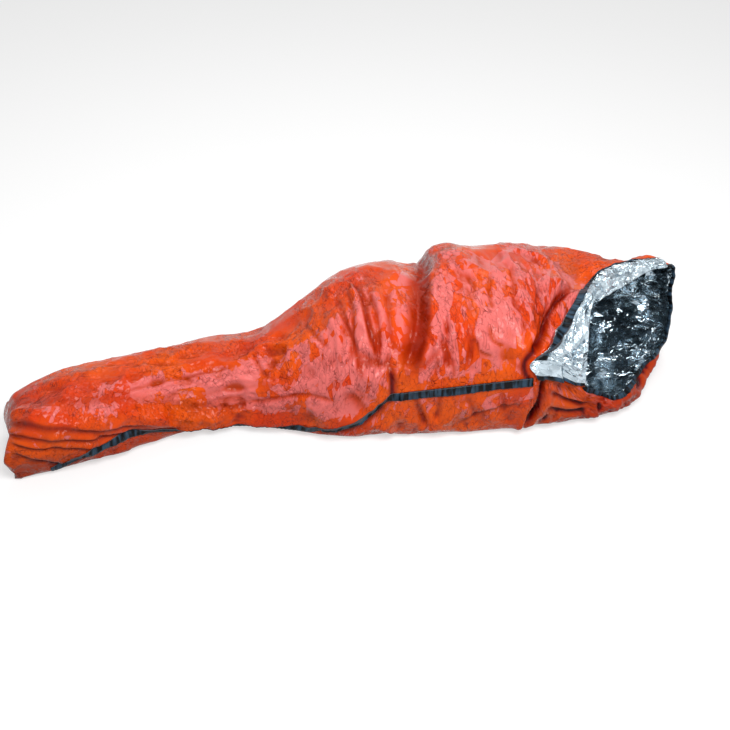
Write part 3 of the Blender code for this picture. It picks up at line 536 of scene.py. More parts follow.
def noise_numbers(cells, seed, count):
    """Numbers from 0 to 1 that belong to whole-number cells."""
    mixed = seed * SEED_MIX
    for axis in range(3):
        mixed = mixed ^ (cells[..., axis] * CELL_MIX[axis])
    found = []
    for turn in range(count):
        mixed = (mixed ^ (mixed >> 15)) * STIRS[0] + turn * STIRS[1] & LOW_BITS
        mixed = (mixed ^ (mixed >> 13)) * STIRS[2] & LOW_BITS
        found.append((mixed & NUMBER_BITS - 1) / float(NUMBER_BITS))
    return np.stack(found, axis=-1)


def facets(points, size, seed):
    """Heights of a crumpled sheet: plane facets of about one size that meet in sharp creases."""
    q = points / size
    cell = np.floor(q).astype(np.int64)
    best = np.full(points.shape[:-1], -1e9)
    for move in itertools.product((-1, 0, 1), repeat=3):
        near = cell + np.array(move)
        numbers = noise_numbers(near, seed, 6)
        away = q - near - numbers[..., :3]
        slope = (numbers[..., 3:] * 2 - 1) * CRUMPLE_TILT
        best = np.maximum(best, (slope * away).sum(-1) - 0.5 * (away * away).sum(-1))
    return best


def soft_noise(points, size, seed):
    """Smooth numbers about 0, from -1 to 1."""
    q = points / size
    cell = np.floor(q).astype(np.int64)
    part = smooth(q - cell)
    total = 0
    for move in itertools.product((0, 1), repeat=3):
        weight = np.prod(np.where(np.array(move) == 1, part, 1 - part), axis=-1)
        total = total + weight * (noise_numbers(cell + np.array(move), seed, 1)[..., 0] * 2 - 1)
    return total


def crumple(points, stretch, seed, sizes=BODY_CRUMPLES):
    """Small crumples, in metres. The stretch is how long they run along each axis."""
    q = points / np.array(stretch)
    warped = q + WARP * np.stack([soft_noise(q, WARP_SIZE, seed + k) for k in range(3)], axis=-1)
    total = 0
    for size, depth, number in sizes:
        raised = facets(warped, size, seed + 10 * number)
        sunk = facets(warped, size, seed + 10 * number + 5)
        total = total + depth * size * (raised - sunk)
    return total


def fold_height(skin, fold):
    """How far one fold lifts or sinks the skin, and how much painted shade it puts in the film's colour."""
    kind, amount, width, knots = fold
    amount, width = amount / MM, width / MM
    rows, columns = np.reshape(knots, (-1, 2)).T
    columns = np.unwrap(columns, period=COLUMNS)
    order = np.arange(len(rows))
    shares = np.linspace(0, len(rows) - 1, FOLD_STEPS)
    rows = np.array([curve_at(order, rows, s) for s in shares])
    columns = np.array([curve_at(order, columns, s) for s in shares])
    line = skin.sample(skin.base, rows, columns)
    form, darks = np.array(FOLD_FORMS[kind]).T, np.array(FOLD_PAINTED_SHADES[kind]).T
    reach = width * np.abs(form[0]).max()
    low, high = line.min(0) - reach, line.max(0) + reach
    near = np.where(((skin.base > low) & (skin.base < high)).all(-1))
    points, normals = skin.base[near], skin.normal[near]
    away = points[:, None, :] - line[None, :, :]
    closest = size_of(away).argmin(1)
    tangent = unit(np.gradient(line, axis=0))[closest]
    away = away[np.arange(len(points)), closest]
    beside = away - tangent * (away * tangent).sum(1, keepdims=True)
    across = size_of(beside) * np.sign(-(away * np.cross(tangent, normals)).sum(1)) / width
    share = closest / (FOLD_STEPS - 1)
    past_end = np.abs((away * tangent).sum(1)) / width
    fade = smooth(share / 0.2 + 0.05) * smooth((1 - share) / 0.2 + 0.05) * (1 - smooth(past_end))
    wobble = 1 + 0.25 * soft_noise(points, 0.05, 61)
    height, dark = np.zeros(skin.base.shape[:2]), np.zeros(skin.base.shape[:2])
    height[near] = amount * fade * wobble * np.interp(across, *form)
    dark[near] = min(DARKEST_FOLD_SHADE, amount / FULL_SHADE_FOLD_HEIGHT) * fade * np.interp(across, *darks)
    return height, dark


def dent_height(skin, dent):
    (row, column), radius, amount = dent
    centre = skin.sample(skin.base, np.array([float(row)]), np.array([float(column)]))[0]
    away = size_of(skin.base - centre) / (radius / MM)
    return amount / MM * (1 - smooth(0.5 * away)) ** 2


def scattered(skin, spacing, rng):
    """Grid places strewn over the skin, none nearer to another than about the spacing."""
    area = size_of(np.gradient(skin.base, axis=0)) * size_of(np.gradient(skin.base, axis=1))
    tries = int(3.0 * area.sum() / spacing ** 2)
    picks = rng.choice(area.size, size=tries, p=(area / area.sum()).ravel())
    kept = np.empty((0, 3))
    found = []
    for place in zip(*np.unravel_index(picks, area.shape)):
        centre = skin.base[place]
        if not len(kept) or ((kept - centre) ** 2).sum(1).min() > (NEAREST_FACET * spacing) ** 2:
            kept = np.vstack([kept, centre])
            found.append(place)
    return found


def flat_facets(skin, spacing, tilt, dish, most, stretches, blend):
    """Height that turns the skin into near-flat facets which meet in raised creases."""
    rng = np.random.default_rng(int(spacing * 1e4))
    base, normal = skin.base, skin.normal
    height = np.full(base.shape[:2], 1.0)
    for r, c in scattered(skin, spacing, rng):
        turn = rng.uniform(0, 2 * math.pi)
        slope = rng.uniform(0.2, 1.0) * tilt
        drop = rng.uniform(-FACET_DROP, FACET_DROP) * spacing
        centre, out, along = base[r, c], normal[r, c], skin.lengthwise[r, c]
        across = np.cross(out, along)
        share = blend[r, c]
        long, wide = (legs * (1 - share) + torso * share for legs, torso in zip(*stretches))
        facing = unit(out + along * (slope * math.cos(turn) / long)
                      + across * (slope * math.sin(turn) / wide))
        reach = FACET_REACH * spacing * max(long, wide)
        low, high = max(0, r - int(reach / STEP) - 1), r + int(reach / STEP) + 2
        around = int(reach / STEP * 2.2) + 2
        columns = np.arange(c - around, c + around + 1) % base.shape[1]
        if len(columns) >= base.shape[1]:
            columns = np.arange(base.shape[1])
        patch = np.ix_(np.arange(low, min(high, base.shape[0])), columns)
        away = base[patch] - centre
        lift = (normal[patch] * facing).sum(-1)
        found = -(away * facing).sum(-1) / np.maximum(lift, 0.25)
        spread = ((away * along).sum(-1) / long) ** 2 + ((away * across).sum(-1) / wide) ** 2
        spread = spread + 3.0 * (away * out).sum(-1) ** 2
        past = np.maximum(0, np.sqrt(spread) / spacing - FACET_EDGE)
        found = found + dish * spread + FACET_RISE * spacing * past ** 2 + drop
        found = np.where((lift > 0.3) & (np.abs(away) < reach).all(-1), found, 1.0)
        height[patch] = np.minimum(height[patch], found)
    height = height - np.median(height)
    return most * spacing * np.tanh(height / (most * spacing))


def sheen_at(rows, columns):
    """How much the film's colour is painted with pinkish highlights: along its near crest, low on the near
    wall and on the far side.
    """
    low_end = np.interp(rows, (6, 10, 13, 16, 30), (5.2, 4.8, 3.6, 2.6, 2.4))
    high_end = np.interp(rows, (6, 14, 17, 19, 21.5, 30), (7.8, 8.8, 8.4, 9.8, 11.4, 11.4))
    crest = smooth((columns - low_end) / 0.8 + 0.5) * smooth((high_end - columns) / 1.2 + 0.5)
    sheen = crest + 0.45 * rising(columns, 29.0, 2.0) + 0.4 * within(columns, *FAR_SIDE)
    return sheen * (0.45 + 0.55 * rising(rows, 6.0, 3.0) + 0.22 * within(rows, *LEG_ROWS))


def fold_and_crumple(skin):
    """Presses the folds and crumples into the skin, and finds where the film's colour gets painted shade and
    painted highlights.
    """
    base, rows, columns = skin.base, skin.rows[:, None], skin.columns[None, :]
    x, y, z = np.moveaxis(base, 2, 0)
    to_torso = rising(x, -0.25, 0.30)
    legs, torso = crumple(base, (1.3, 0.8, 0.8), 100), crumple(base, (0.65, 1.5, 1.5), 200)
    patches = smooth(0.45 + 1.8 * soft_noise(base, 0.12, 55))
    height = 0.7 * (legs * (1 - to_torso) + torso * to_torso) * patches
    for *form, at_legs, at_torso, everywhere in FACETS:
        found = flat_facets(skin, *form, (at_legs, at_torso), to_torso)
        height = height + found * (everywhere + (1 - everywhere) * patches)
    # Painted highlights: the band where the film's colour turns pinkish
    skin.sheen = sheen_at(rows, columns)
    height = height * (1 - 0.6 * within(columns, *FAR_CREST))
    # Calm film round the side opening, so that its flap can lie on it and lift
    above_seam = np.where(columns < FAR, columns, columns - COLUMNS)
    by_slit = within(rows, *SLIT_ROWS) * (1 - rising(np.abs(above_seam), 2.3, 1.2))
    height = height * (1 - (0.72 + 0.26 * smooth(above_seam + 1.2)) * by_slit)
    clear = np.where(columns < FAR, smooth(columns - 3.0), smooth(COLUMNS - columns - 2.2))
    free = 1 - smooth(rows - SLIT_ROW + 1) * smooth(SHOULDER + 1 - rows) * (1 - clear)
    # Painted shade that the folds put in the film's colour
    dark = np.zeros(height.shape)
    for fold in FOLDS:
        lift, shade = fold_height(skin, fold)
        height = height + lift * free
        dark = np.maximum(dark, shade)
    for dent in DENTS:
        height = height + dent_height(skin, dent) * free
    # The lower rim is gathered by its cord
    gather = rising(rows, 28.5, 3.5) * rising(columns, 15.0, 2.0)
    waves = np.sin(2 * math.pi * (skin.shares[None, :] * 38 + 1.6 * soft_noise(base, 0.10, 7)))
    height = height + 0.0030 * gather * waves * (0.6 + 0.6 * soft_noise(base, 0.07, 8))
    # The film stays inside the bag's width, and above the floor
    widest = smooth((-0.272 - y) / 0.02) + 0.8 * rising(y, 0.285, 0.02)
    height = np.where(height > 0, height * (1 - 0.5 * widest), height)
    low = rising(z, 0.004, 0.05)
    sunk = np.maximum(np.maximum(low, 0.15), 0.8 * rising(z, 0.0025, 0.012))
    height = np.where(height > 0, height * low, height * sunk)
    facing_up = skin.normal[:, :, 2]
    floor = np.where(facing_up < -0.02, (z - 0.0008) / np.maximum(-facing_up, 0.02), 1.0)
    skin.height = np.minimum(height, np.maximum(floor, -0.0005))
    # Painted shade: darker near the floor, in hollows between facets and along the folds
    near_floor = 1 - rising(z, 0.02, 0.14)
    hollow_shade = smooth((blurred(skin.height, 5) - skin.height) / 0.010)
    shaded = near_floor * np.interp(rows, (7, 12, 18, 23, 25), (0.72, 0.14, 0.03, 0.05, 0.62))
    skin.dark = np.clip(np.maximum(dark, (0.7 + 0.5 * near_floor) * hollow_shade) + shaded, 0, 1.5)


def blurred(field, reach):
    """Field averaged over squares of the grid, twice."""
    for axis in (0, 1, 0, 1):
        total = 0
        for move in range(-reach, reach + 1):
            places = np.arange(field.shape[axis]) + move
            places = places % field.shape[1] if axis == 1 else np.clip(places, 0, field.shape[0] - 1)
            total = total + np.take(field, places, axis=axis)
        field = total / (2 * reach + 1)
    return field


def piece(name, slot, vertices, faces):
    """Object of a mesh in one of the materials."""
    mesh = bpy.data.meshes.new(name)
    mesh.from_pydata(vertices, [], faces)
    mesh.materials.append(MATERIALS[slot])
    thing = bpy.data.objects.new(name, mesh)
    bpy.context.scene.collection.objects.link(thing)
    return thing


def shell(name, slot, body, points, normals, lay, low, high, keep=None, looks=None):
    """Closed thin sheet between two offsets of a grid of points.

    lay gives each point's place on the flat sheet, and looks the film's painted shade and painted highlights
    there.
    """
    n, m = points.shape[:2]
    keep = np.ones((n - 1, m - 1), bool) if keep is None else keep
    number = np.arange(n * m).reshape(n, m)
    a, b, c, d = number[:-1, :-1], number[1:, :-1], number[1:, 1:], number[:-1, 1:]
    top = np.stack([a, b, c, d], axis=-1)[keep]
    under = top[:, ::-1] + n * m
    ringed = np.zeros((n + 1, m + 1), bool)
    ringed[1:-1, 1:-1] = keep
    sides = []
    for first, second, beyond in ((a, b, ringed[1:-1, :-2]), (b, c, ringed[2:, 1:-1]),
                                  (c, d, ringed[1:-1, 2:]), (d, a, ringed[:-2, 1:-1])):
        free = keep & ~beyond
        one, two = first[free], second[free]
        sides.append(np.stack([two, one, one + n * m, two + n * m], axis=-1))
    faces = np.concatenate([top, under, *sides])
    both = np.concatenate([(points + normals * side).reshape(-1, 3) for side in (high, low)])
    used = np.unique(faces)
    renumber = np.full(len(both), -1)
    renumber[used] = np.arange(len(used))
    thing = piece(name, slot, both[used].tolist(), renumber[faces].tolist())
    mesh = thing.data
    loops = np.zeros(len(mesh.loops), np.int32)
    mesh.loops.foreach_get("vertex_index", loops)
    places = np.tile(lay.reshape(-1, 2), (2, 1))[used][loops]
    mesh.uv_layers.new(name="lay").data.foreach_set("uv", places.astype(np.float32).ravel())
    for look, values in (looks or {}).items():
        values = np.tile(values.ravel(), 2)[used].astype(np.float32)
        mesh.attributes.new(look, "FLOAT", "POINT").data.foreach_set("value", values)
    mesh.polygons.foreach_set("use_smooth", np.ones(len(mesh.polygons), bool))
    mesh.update()
    if body:
        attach(thing, body)
    return thing


def sheet(thing, points, held, rests_on, *nodes):
    """Hides the solids of the nodes, in whose place the piece stands as a sheet."""
    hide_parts(*nodes)


def grid_lay(along, across):
    """Places on the flat sheet, from how far along each row lies and how far across each column."""
    return np.stack(np.broadcast_arrays(along[:, None], across[None, :]), axis=-1)


def tape_lay(along, points):
    """Each point's place on a tape: along it, and across from its middle line."""
    steps = size_of(np.diff(points, axis=1))
    across = np.concatenate([np.zeros((len(points), 1)), np.cumsum(steps, axis=1)], axis=1)
    return np.stack([np.broadcast_to(along, across.shape), across - 0.5 * across[:, -1:]], axis=-1)


def round_tape_lay(run, points):
    """The same for a tape whose columns run along it."""
    return tape_lay(run[:, None], points.transpose(1, 0, 2)).transpose(1, 0, 2)


def puckers(run, height, length):
    """Small waves across a sewn tape, by how far each point lies along it."""
    return height * (0.5 + 0.5 * np.sin(2 * math.pi * run / length))


class Cut:
    """A patch of the skin between two rows and two columns."""

    def __init__(self, skin, rows, columns):
        self.r = skin.row_slice(*rows)
        self.c, self.column = skin.column_slice(*columns)
        self.row = skin.rows[self.r]
        grid = np.ix_(self.r, self.c)
        self.points, self.normals = skin.point[grid], skin.normal[grid]
        # Painted shade and painted highlights of the film, carried to its colour
        self.looks = {"dark": skin.dark[grid], "sheen": skin.sheen[grid]}
        shares = skin.shares[self.c] + (self.column >= COLUMNS)
        self.lay = grid_lay(skin.along[self.r], shares * skin.shoulder_around)

    def without(self, hole):
        """The patch's faces that are kept round a hole, given by its rows and columns."""
        if not hole:
            return None
        rows, columns = hole
        row, column = self.row[:-1, None] + 1e-6, self.column[None, :-1] + 1e-6
        return ~((row > rows[0]) & (row < rows[1]) & (column > columns[0]) & (column < columns[1]))


def make_panels(skin):
    """Orange film panels, each with its silver lining inside."""
    slit = (SLIT_ROW, SHOULDER)
    for name, rows, columns, hole, rests_on in (
            ("upper", (0, RIM_ROW), (NEAR, FAR), (slit, (NEAR, SLIT_TOP)), "lower_film"),
            ("lower", (0, SHOULDER), (FAR, COLUMNS), (slit, (SLIT_LOW, COLUMNS)), "ground"),
            ("hood", (SHOULDER, RIM_ROW), (FAR, COLUMNS), None, "lower_film")):
        cut = Cut(skin, rows, columns)
        film = shell(name + "_film", "orange_film", "bag", cut.points, cut.normals, cut.lay, -FILM, 0.0,
                     cut.without(hole), cut.looks)
        sheet(film, cut.points, "draped", rests_on, name + "_panel")
        cut = Cut(skin, (max(rows[0], UNLINED_ROWS), rows[1]), columns)
        low = -FILM - GAP - LINING
        foil = shell(name + "_foil", "silver_film", "bag", cut.points, cut.normals, cut.lay,
                     low, low + LINING, cut.without(hole))
        sheet(foil, cut.points, "draped", name + "_film", name + "_lining")


def make_seams_and_side_flap(skin):
    """Black tapes over the seams, and the hem, loops, hooks and flap of the side opening."""
    tape = (GAP, GAP + TAPE)
    loops = (GAP, GAP + LOOP_PILE)
    hooks = (loops[1] + GAP, loops[1] + GAP + HOOK_PILE)
    hem = (GAP, hooks[1])
    flap = (hooks[1] + FLAP_FLOAT, hooks[1] + FLAP_FLOAT + FLAP_TAPE)
    slit = (SLIT_ROW, SHOULDER)
    over_seam, under_slit = (TAPE_LOW, COLUMNS + TAPE_TOP), (TAPE_LOW, SLIT_LOW)
    near, far = (FOOT_ROWS - 1, SLIT_ROW), (UNLINED_ROWS, RIM_ROW - 1)
    for name, node, rows, columns, layer, pucker, slot, body in (
            ("near_tape", "near_seam_tape", near, over_seam, tape, SEAM_PUCKER, "black_tape", "bag"),
            ("far_tape", "far_seam_tape", far, (FAR_TAPE_TOP, FAR_TAPE_LOW), tape, SEAM_PUCKER,
             "black_tape", "bag"),
            ("side_hem", "side_opening_hem", slit, (SLIT_TOP, TAPE_TOP), hem, NO_PUCKER, "black_tape", "bag"),
            ("loop_strip", "side_loop_strip", slit, under_slit, loops, NO_PUCKER, "black_webbing", "bag"),
            ("hook_strip", "side_flap_hooks", slit, under_slit, hooks, NO_PUCKER, "black_webbing",
             "side_flap"),
            ("side_flap_tape", "side_flap", slit, over_seam, flap, FLAP_PUCKER, "black_tape", "side_flap")):
        cut = Cut(skin, rows, columns)
        along = cut.lay[:, :, 0]
        wander = 0.6 * soft_noise(cut.points, 0.05, 40)
        points = cut.points + cut.normals * puckers(along + pucker[1] * wander, *pucker)[:, :, None]
        made = shell(name, slot, body, points, cut.normals, tape_lay(along, points), *layer)
        sheet(made, points, "stretched", "upper_film", node)
    foot = Cut(skin, (0, 1), (TAPE_TOP, FAR_TAPE_TOP))
    edge = foot.points[:1].copy()
    edge[:, :, 2] = FOOT_TAPE_DROP
    points = np.concatenate([edge, foot.points])
    normals = np.concatenate([foot.normals[:1], foot.normals])
    lay = round_tape_lay(foot.lay[0, :, 1], points)
    made = shell("foot_tape", "black_tape", "bag", points, normals, lay, *tape)
    sheet(made, points, "stretched", "upper_film", "foot_seam_tape")


def turn_round(rim, inner, normal):
    """Way straight on past the film's edge, and the ways that turn there from under the film to over it."""
    beyond = rim - inner
    beyond = unit(beyond - normal * (beyond * normal).sum(1, keepdims=True))
    angles = np.linspace(-0.5 * math.pi, 0.5 * math.pi, TURN_ROWS)
    return beyond, [beyond * math.cos(angle) + normal * math.sin(angle) for angle in angles]


def make_turned_edge(skin):
    """The film turned back round the opening: fixed facing over the top, loose lapel at the near side."""
    c, column = skin.column_slice(TAPE_TOP, FACING_END)
    shares = skin.shares[c]
    rim, normal = skin.point[-1, c], skin.normal[-1, c]
    ups = turn_round(rim, skin.point[-4, c], normal)[1]
    rows = [rim + (normal + outward) * 0.5 * TURN_LIFT for outward in ups]
    knots, values = [edge[0] for edge in TURNED_EDGE], [np.array(edge[1:]) for edge in TURNED_EDGE]
    back, moved = np.array([curve_at(knots, values, share) for share in shares]).T
    shoulder = skin.base[skin.row_slice(SHOULDER, SHOULDER)[0], c]
    reach = size_of(shoulder - skin.base[-1, c]) * back
    steps = max(8, round(reach.max() / STEP))
    leg = skin.leg[c]
    for part in np.linspace(0, 1, steps + 1)[1:]:
        gone = back * part
        past = np.where(gone < leg, gone / leg, 1 + (gone - leg) / (1 - leg) * (HOOD_ROWS - 1))
        row = RIM_ROW - past
        length = np.mod(shares + moved * part, 1.0) * skin.shoulder_around
        at = np.interp(length, skin.shoulder_lengths, np.arange(COLUMNS + 1))
        below = skin.sample(skin.point, row, at)
        up = unit(skin.sample(skin.normal, row, at))
        puff = TURN_LIFT + LAPEL_PUFF * math.sin(math.pi * part) * smooth(reach / 0.05)
        puff = puff + CUFF_RISE * part * within(shares, 0.26, 0.50, 0.10, 0.10)
        own = crumple(below + 3.0, (0.9, 0.9, 1.1), 400, LAPEL_CRUMPLES)
        rows.append(below + up * (puff + np.maximum(own, -0.003) * smooth(reach * part / 0.02))[:, None])
        ups.append(up)
    points, normals = np.stack(rows), np.stack(ups)
    lay = grid_lay(run_along(points), shares * skin.shoulder_around)
    film = shell("lapel_film", "orange_film", None, points, normals, lay, 0.0, FILM)
    foil = shell("lapel_foil", "silver_film", None, points, normals, lay, FILM + GAP, FILM + GAP + LINING)
    top = FILM + GAP + LINING + GAP
    shown = TAPE_WIDTH * np.interp(shares, *EDGE_TAPE_SHOWN)
    taped = np.clip(shown / np.maximum(reach, 0.03), 0.0, 0.5)
    k = np.where(column >= TAPE_TOP + LOBE)[0]
    rows, ups = [], []
    for part in np.linspace(0, 1, EDGE_TAPE_ROWS):
        place = TURN_ROWS - 1 + (1 - taped[k] * (1 - part)) * steps
        row = np.minimum(np.floor(place).astype(int), len(points) - 2)
        u = (place - row)[:, None]
        rows.append(points[row, k] * (1 - u) + points[row + 1, k] * u)
        ups.append(unit(normals[row, k] * (1 - u) + normals[row + 1, k] * u))
    tape_points, tape_normals = np.stack(rows), np.stack(ups)
    run = run_along(tape_points[-1])
    tape_points = tape_points + tape_normals * puckers(run, *LAPEL_PUCKER)[None, :, None]
    edge = shell("lapel_edge_tape", "black_tape", None, tape_points, tape_normals,
                 round_tape_lay(run, tape_points), top, top + TAPE)
    low_edge = np.s_[TURN_ROWS - 1:, :max(2, round(LOWER_EDGE / STEP)) + 1]
    low_points = points[low_edge]
    lower = shell("lapel_lower_tape", "black_tape", None, low_points, normals[low_edge],
                  tape_lay(lay[low_edge][:, :, 0], low_points), top, top + TAPE)
    for thing, grid, nodes in ((film, points, ("face_facing_film", "face_flap_film")),
                               (foil, points, ("face_facing_lining", "face_flap_lining")),
                               (edge, tape_points, ("face_facing_tape", "face_flap_edge_tape")),
                               (lower, low_points, ("face_flap_lower_tape",))):
        sheet(thing, grid, "folded", "upper_film", *nodes)
        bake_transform(thing)


def make_corded_rim(skin):
    """Folded tape round the lower rim, and the stretch cord in its channel."""
    c = skin.column_slice(FACING_END, COLUMNS)[0]
    middle = -0.5 * (FILM + GAP + LINING)
    rim, normal = skin.point[-1, c], skin.normal[-1, c]
    leg_row = skin.row_slice(RIM_ROW - 1, RIM_ROW - 1)[0]
    leg, leg_normal = skin.point[leg_row, c], skin.normal[leg_row, c]
    beyond, turns = turn_round(rim, leg, normal)
    rows = [rim + normal * middle + outward * CHANNEL_HALF for outward in turns]
    inside, outside = (leg + leg_normal * (middle + side) for side in (-CHANNEL_HALF, CHANNEL_HALF))
    points, normals = np.stack([inside, *rows, outside]), np.stack([-leg_normal, *turns, leg_normal])
    across, run = run_along(points), run_along(rim)
    lay = grid_lay(0.2 * (across - 0.5 * across[-1]), run)[:, :, ::-1]
    points = points + normals * puckers(run, *RIM_PUCKER)[None, :, None]
    binding = shell("rim_tape", "black_tape", "bag", points, normals, lay, 0.0, CHANNEL_WALL)
    sheet(binding, points, "folded", "hood_film", "rim_binding")
    heart = rim + normal * middle + beyond * 0.2 * CHANNEL_HALF
    angles = np.linspace(0, 2 * math.pi, CORD_SIDES + 1)[:-1]
    rings = [[h + (b * math.cos(angle) + n * math.sin(angle)) * 0.5 * CORD_DIAMETER for angle in angles]
             for h, b, n in zip(heart, beyond, normal)]
    cord = tube(rings, "rim_cord", "stretch_cord")
    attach(cord, "bag")
    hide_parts("rim_stretch_cord")


def tube(rings, name, slot):
    """Closed tube through rings of points."""
    count, sides = len(rings), len(rings[0])
    numbers = np.arange(count * sides).reshape(count, sides)
    after = np.roll(numbers, -1, axis=1)
    faces = np.stack([numbers[:-1], after[:-1], after[1:], numbers[1:]], axis=-1).reshape(-1, 4).tolist()
    faces += [tuple(range(sides))[::-1], tuple(range((count - 1) * sides, count * sides))]
    return piece(name, slot, [list(point) for ring in rings for point in ring], faces)


def new_material(name):
    made = bpy.data.materials.new(name)
    made.use_nodes = True
    return made, made.node_tree, made.node_tree.nodes["Principled BSDF"]


def feed(node, inputs):
    """Sets a node's inputs, by name or place: to a value, or to the output, or first output, of a node."""
    for name, value in inputs.items():
        if isinstance(value, bpy.types.Node):
            value = value.outputs[0]
        if isinstance(value, bpy.types.NodeSocket):
            node.id_data.links.new(value, node.inputs[name])
        else:
            node.inputs[name].default_value = value


def add(tree, kind, inputs=None, **settings):
    node = tree.nodes.new("ShaderNode" + kind)
    for name, value in settings.items():
        setattr(node, name, value)
    feed(node, inputs or {})
    return node


def maths(tree, operation, *values):
    return add(tree, "Math", dict(enumerate(values)), operation=operation)


def noise(tree, place, scale, detail, distortion=0.0):
    inputs = {"Vector": place, "Scale": scale, "Detail": detail, "Distortion": distortion}
    return add(tree, "TexNoise", inputs)


def ranged(tree, value, low, high, start=0.0, end=1.0, how="SMOOTHSTEP"):
    """Number that goes from start to end while the value goes from low to high."""
    inputs = {"Value": value, "From Min": low, "From Max": high, "To Min": start, "To Max": end}
    return add(tree, "MapRange", inputs, interpolation_type=how)


def mix(tree, share, first, second, how="MIX"):
    return add(tree, "MixRGB", {"Fac": share, "Color1": first, "Color2": second}, blend_type=how)


def ramp(tree, value, *stops):
    """Colour that runs between two stops, each a place and a colour."""
    made = add(tree, "ValToRGB", {"Fac": value})
    for element, (place, colour) in zip(made.color_ramp.elements, stops):
        element.position = place
        element.color = (*colour, 1)
    return made


def bump(tree, shader, height, distance, strength):
    lifted = add(tree, "Bump", {"Height": height, "Distance": distance, "Strength": strength})
    feed(shader, {"Normal": lifted})


def crinkles(tree, shader, sizes, ratio, crease, fine, mask_scale=6.0):
    """Flat facets of a few sizes, and creases between them that stand up, sink in or fade out, in patches.

    Each size has its width, how far its facets tilt, and its weight in the facets' own numbers. The ratio
    is how much longer the facets are round the bag. Lengths are in metres on the flat sheet. It also gives
    painted shade for the colour: darker streaks along the veins and the sunk creases, in patches.
    """
    place = add(tree, "TexCoord")
    flat = add(tree, "Mapping", {"Vector": place.outputs["UV"], "Scale": (1.0, 1.0 / ratio, 1.0)})
    patch = ranged(tree, noise(tree, place.outputs["UV"], mask_scale, 2.0), 0.38, 0.52, 0.12, how="LINEAR")
    height = number = 0.0
    for size, tilt, weight in sizes:
        warp = noise(tree, flat, 0.45 / size, 2.0).outputs["Color"]
        warped = mix(tree, 0.5 * size, flat, warp, "ADD")
        cells = add(tree, "TexVoronoi", {"Vector": warped, "Scale": 1 / size})
        colour = cells.outputs["Color"]
        away = add(tree, "VectorMath", {0: warped, 1: cells.outputs["Position"]}, operation="SUBTRACT")
        slope = add(tree, "VectorMath", {0: colour, 1: (0.5, 0.5, 0.5)}, operation="SUBTRACT")
        facet = add(tree, "VectorMath", {0: away, 1: slope}, operation="DOT_PRODUCT").outputs["Value"]
        height = maths(tree, "MULTIPLY_ADD", facet, tilt, height)
        own = add(tree, "SeparateColor", {"Color": colour}).outputs["Blue"]
        number = maths(tree, "MULTIPLY_ADD", own, weight, number)
        if size == sizes[0][0] and len(sizes) > 1:
            broad, height = height, 0.0
    edges = add(tree, "TexVoronoi", {"Vector": warped, "Scale": 1 / size}, feature="DISTANCE_TO_EDGE")
    sign = maths(tree, "MULTIPLY_ADD", noise(tree, flat, 0.8 / size, 0.0), 5.0, -2.5)
    edge = maths(tree, "MULTIPLY", ranged(tree, edges, 0.0, 0.13, 1.0, 0.0), sign)
    height = maths(tree, "MULTIPLY_ADD", edge, crease, height)
    folded = maths(tree, "ABSOLUTE", maths(tree, "SUBTRACT", noise(tree, flat, 0.45 / size, 3.0, 0.7), 0.5))
    height = maths(tree, "MULTIPLY", maths(tree, "MULTIPLY_ADD", folded, fine, height), patch)
    if len(sizes) > 1:
        height = maths(tree, "ADD", height, broad)
    bump(tree, shader, height, 1.0, 1.0)
    # Painted shade: darker streaks along the veins and along the sunk creases, in patches
    vein_shade = ranged(tree, folded, 0.0, 0.022, 0.6, 0.0)
    crease_shade_lines = maths(tree, "MAXIMUM", vein_shade, maths(tree, "MULTIPLY", edge, -0.5))
    return place, number, maths(tree, "MULTIPLY", crease_shade_lines, patch)


def orange_film():
    """Orange film whose facets differ, some painted paler pink as highlights, with painted shade, deep red to
    near black, in its folds, creases, hollows and near the floor.
    """
    made, tree, shader = new_material("orange_film_look")
    sizes = ((0.055, 0.26, 0.45), (0.026, 0.34, 0.33), (0.012, 0.40, 0.22))
    place, number, painted_crease_shade = crinkles(tree, shader, sizes, 1.9, 0.0011, 0.007)
    shade = noise(tree, place.outputs["Object"], 5.0, 3.0)
    orange = ramp(tree, shade, (0.38, (0.62, 0.040, 0.003)), (0.64, (0.74, 0.086, 0.003)))
    sheen = add(tree, "Attribute", attribute_name="sheen").outputs["Fac"]
    dark = add(tree, "Attribute", attribute_name="dark").outputs["Fac"]
    # Painted highlights: facets in the band turn pinkish, as if they reflected the lamps
    painted_highlight = ranged(tree, maths(tree, "MULTIPLY_ADD", sheen, 0.38, number), 0.76, 0.86)
    painted_highlight_share = add(tree, "Clamp", {"Value": maths(tree, "MULTIPLY_ADD", dark, -1.6, painted_highlight)})
    # Painted shade: deep red in the folds, creases, hollows and near the floor, near black where deepest
    darkness = maths(tree, "MAXIMUM", maths(tree, "MULTIPLY", dark, 0.85), painted_crease_shade)
    colour = mix(tree, painted_highlight_share, orange, (0.72, 0.145, 0.130, 1))
    colour = mix(tree, darkness, colour, (0.17, 0.004, 0.003, 1))
    colour = mix(tree, ranged(tree, dark, 0.95, 1.5, 0.0, 0.85), colour, (0.020, 0.003, 0.003, 1))
    feed(shader, {"Base Color": colour, "Roughness": 0.10, "Specular IOR Level": 0.12})
    return made


def silver_film():
    """Silver film with small facets that differ, and a fine mottling of its colour that is painted reflection
    of darker and brighter surroundings.
    """
    made, tree, shader = new_material("silver_film_look")
    place, number, _ = crinkles(tree, shader, ((0.015, 1.0, 1.0),), 1.0, 0.0016, 0.012, 9.0)
    # Painted reflection: facets and a fine noise make the silver darker or lighter
    fine_reflection_noise = maths(tree, "MULTIPLY", noise(tree, place.outputs["UV"], 45.0, 3.0), 0.9)
    painted_reflection = maths(tree, "MULTIPLY_ADD", number, 0.45, fine_reflection_noise)
    silver = ramp(tree, painted_reflection, (0.42, (0.36, 0.44, 0.50)), (0.86, (0.64, 0.75, 0.82)))
    feed(shader, {"Base Color": silver, "Metallic": 1.0, "Roughness": 0.17})
    return made


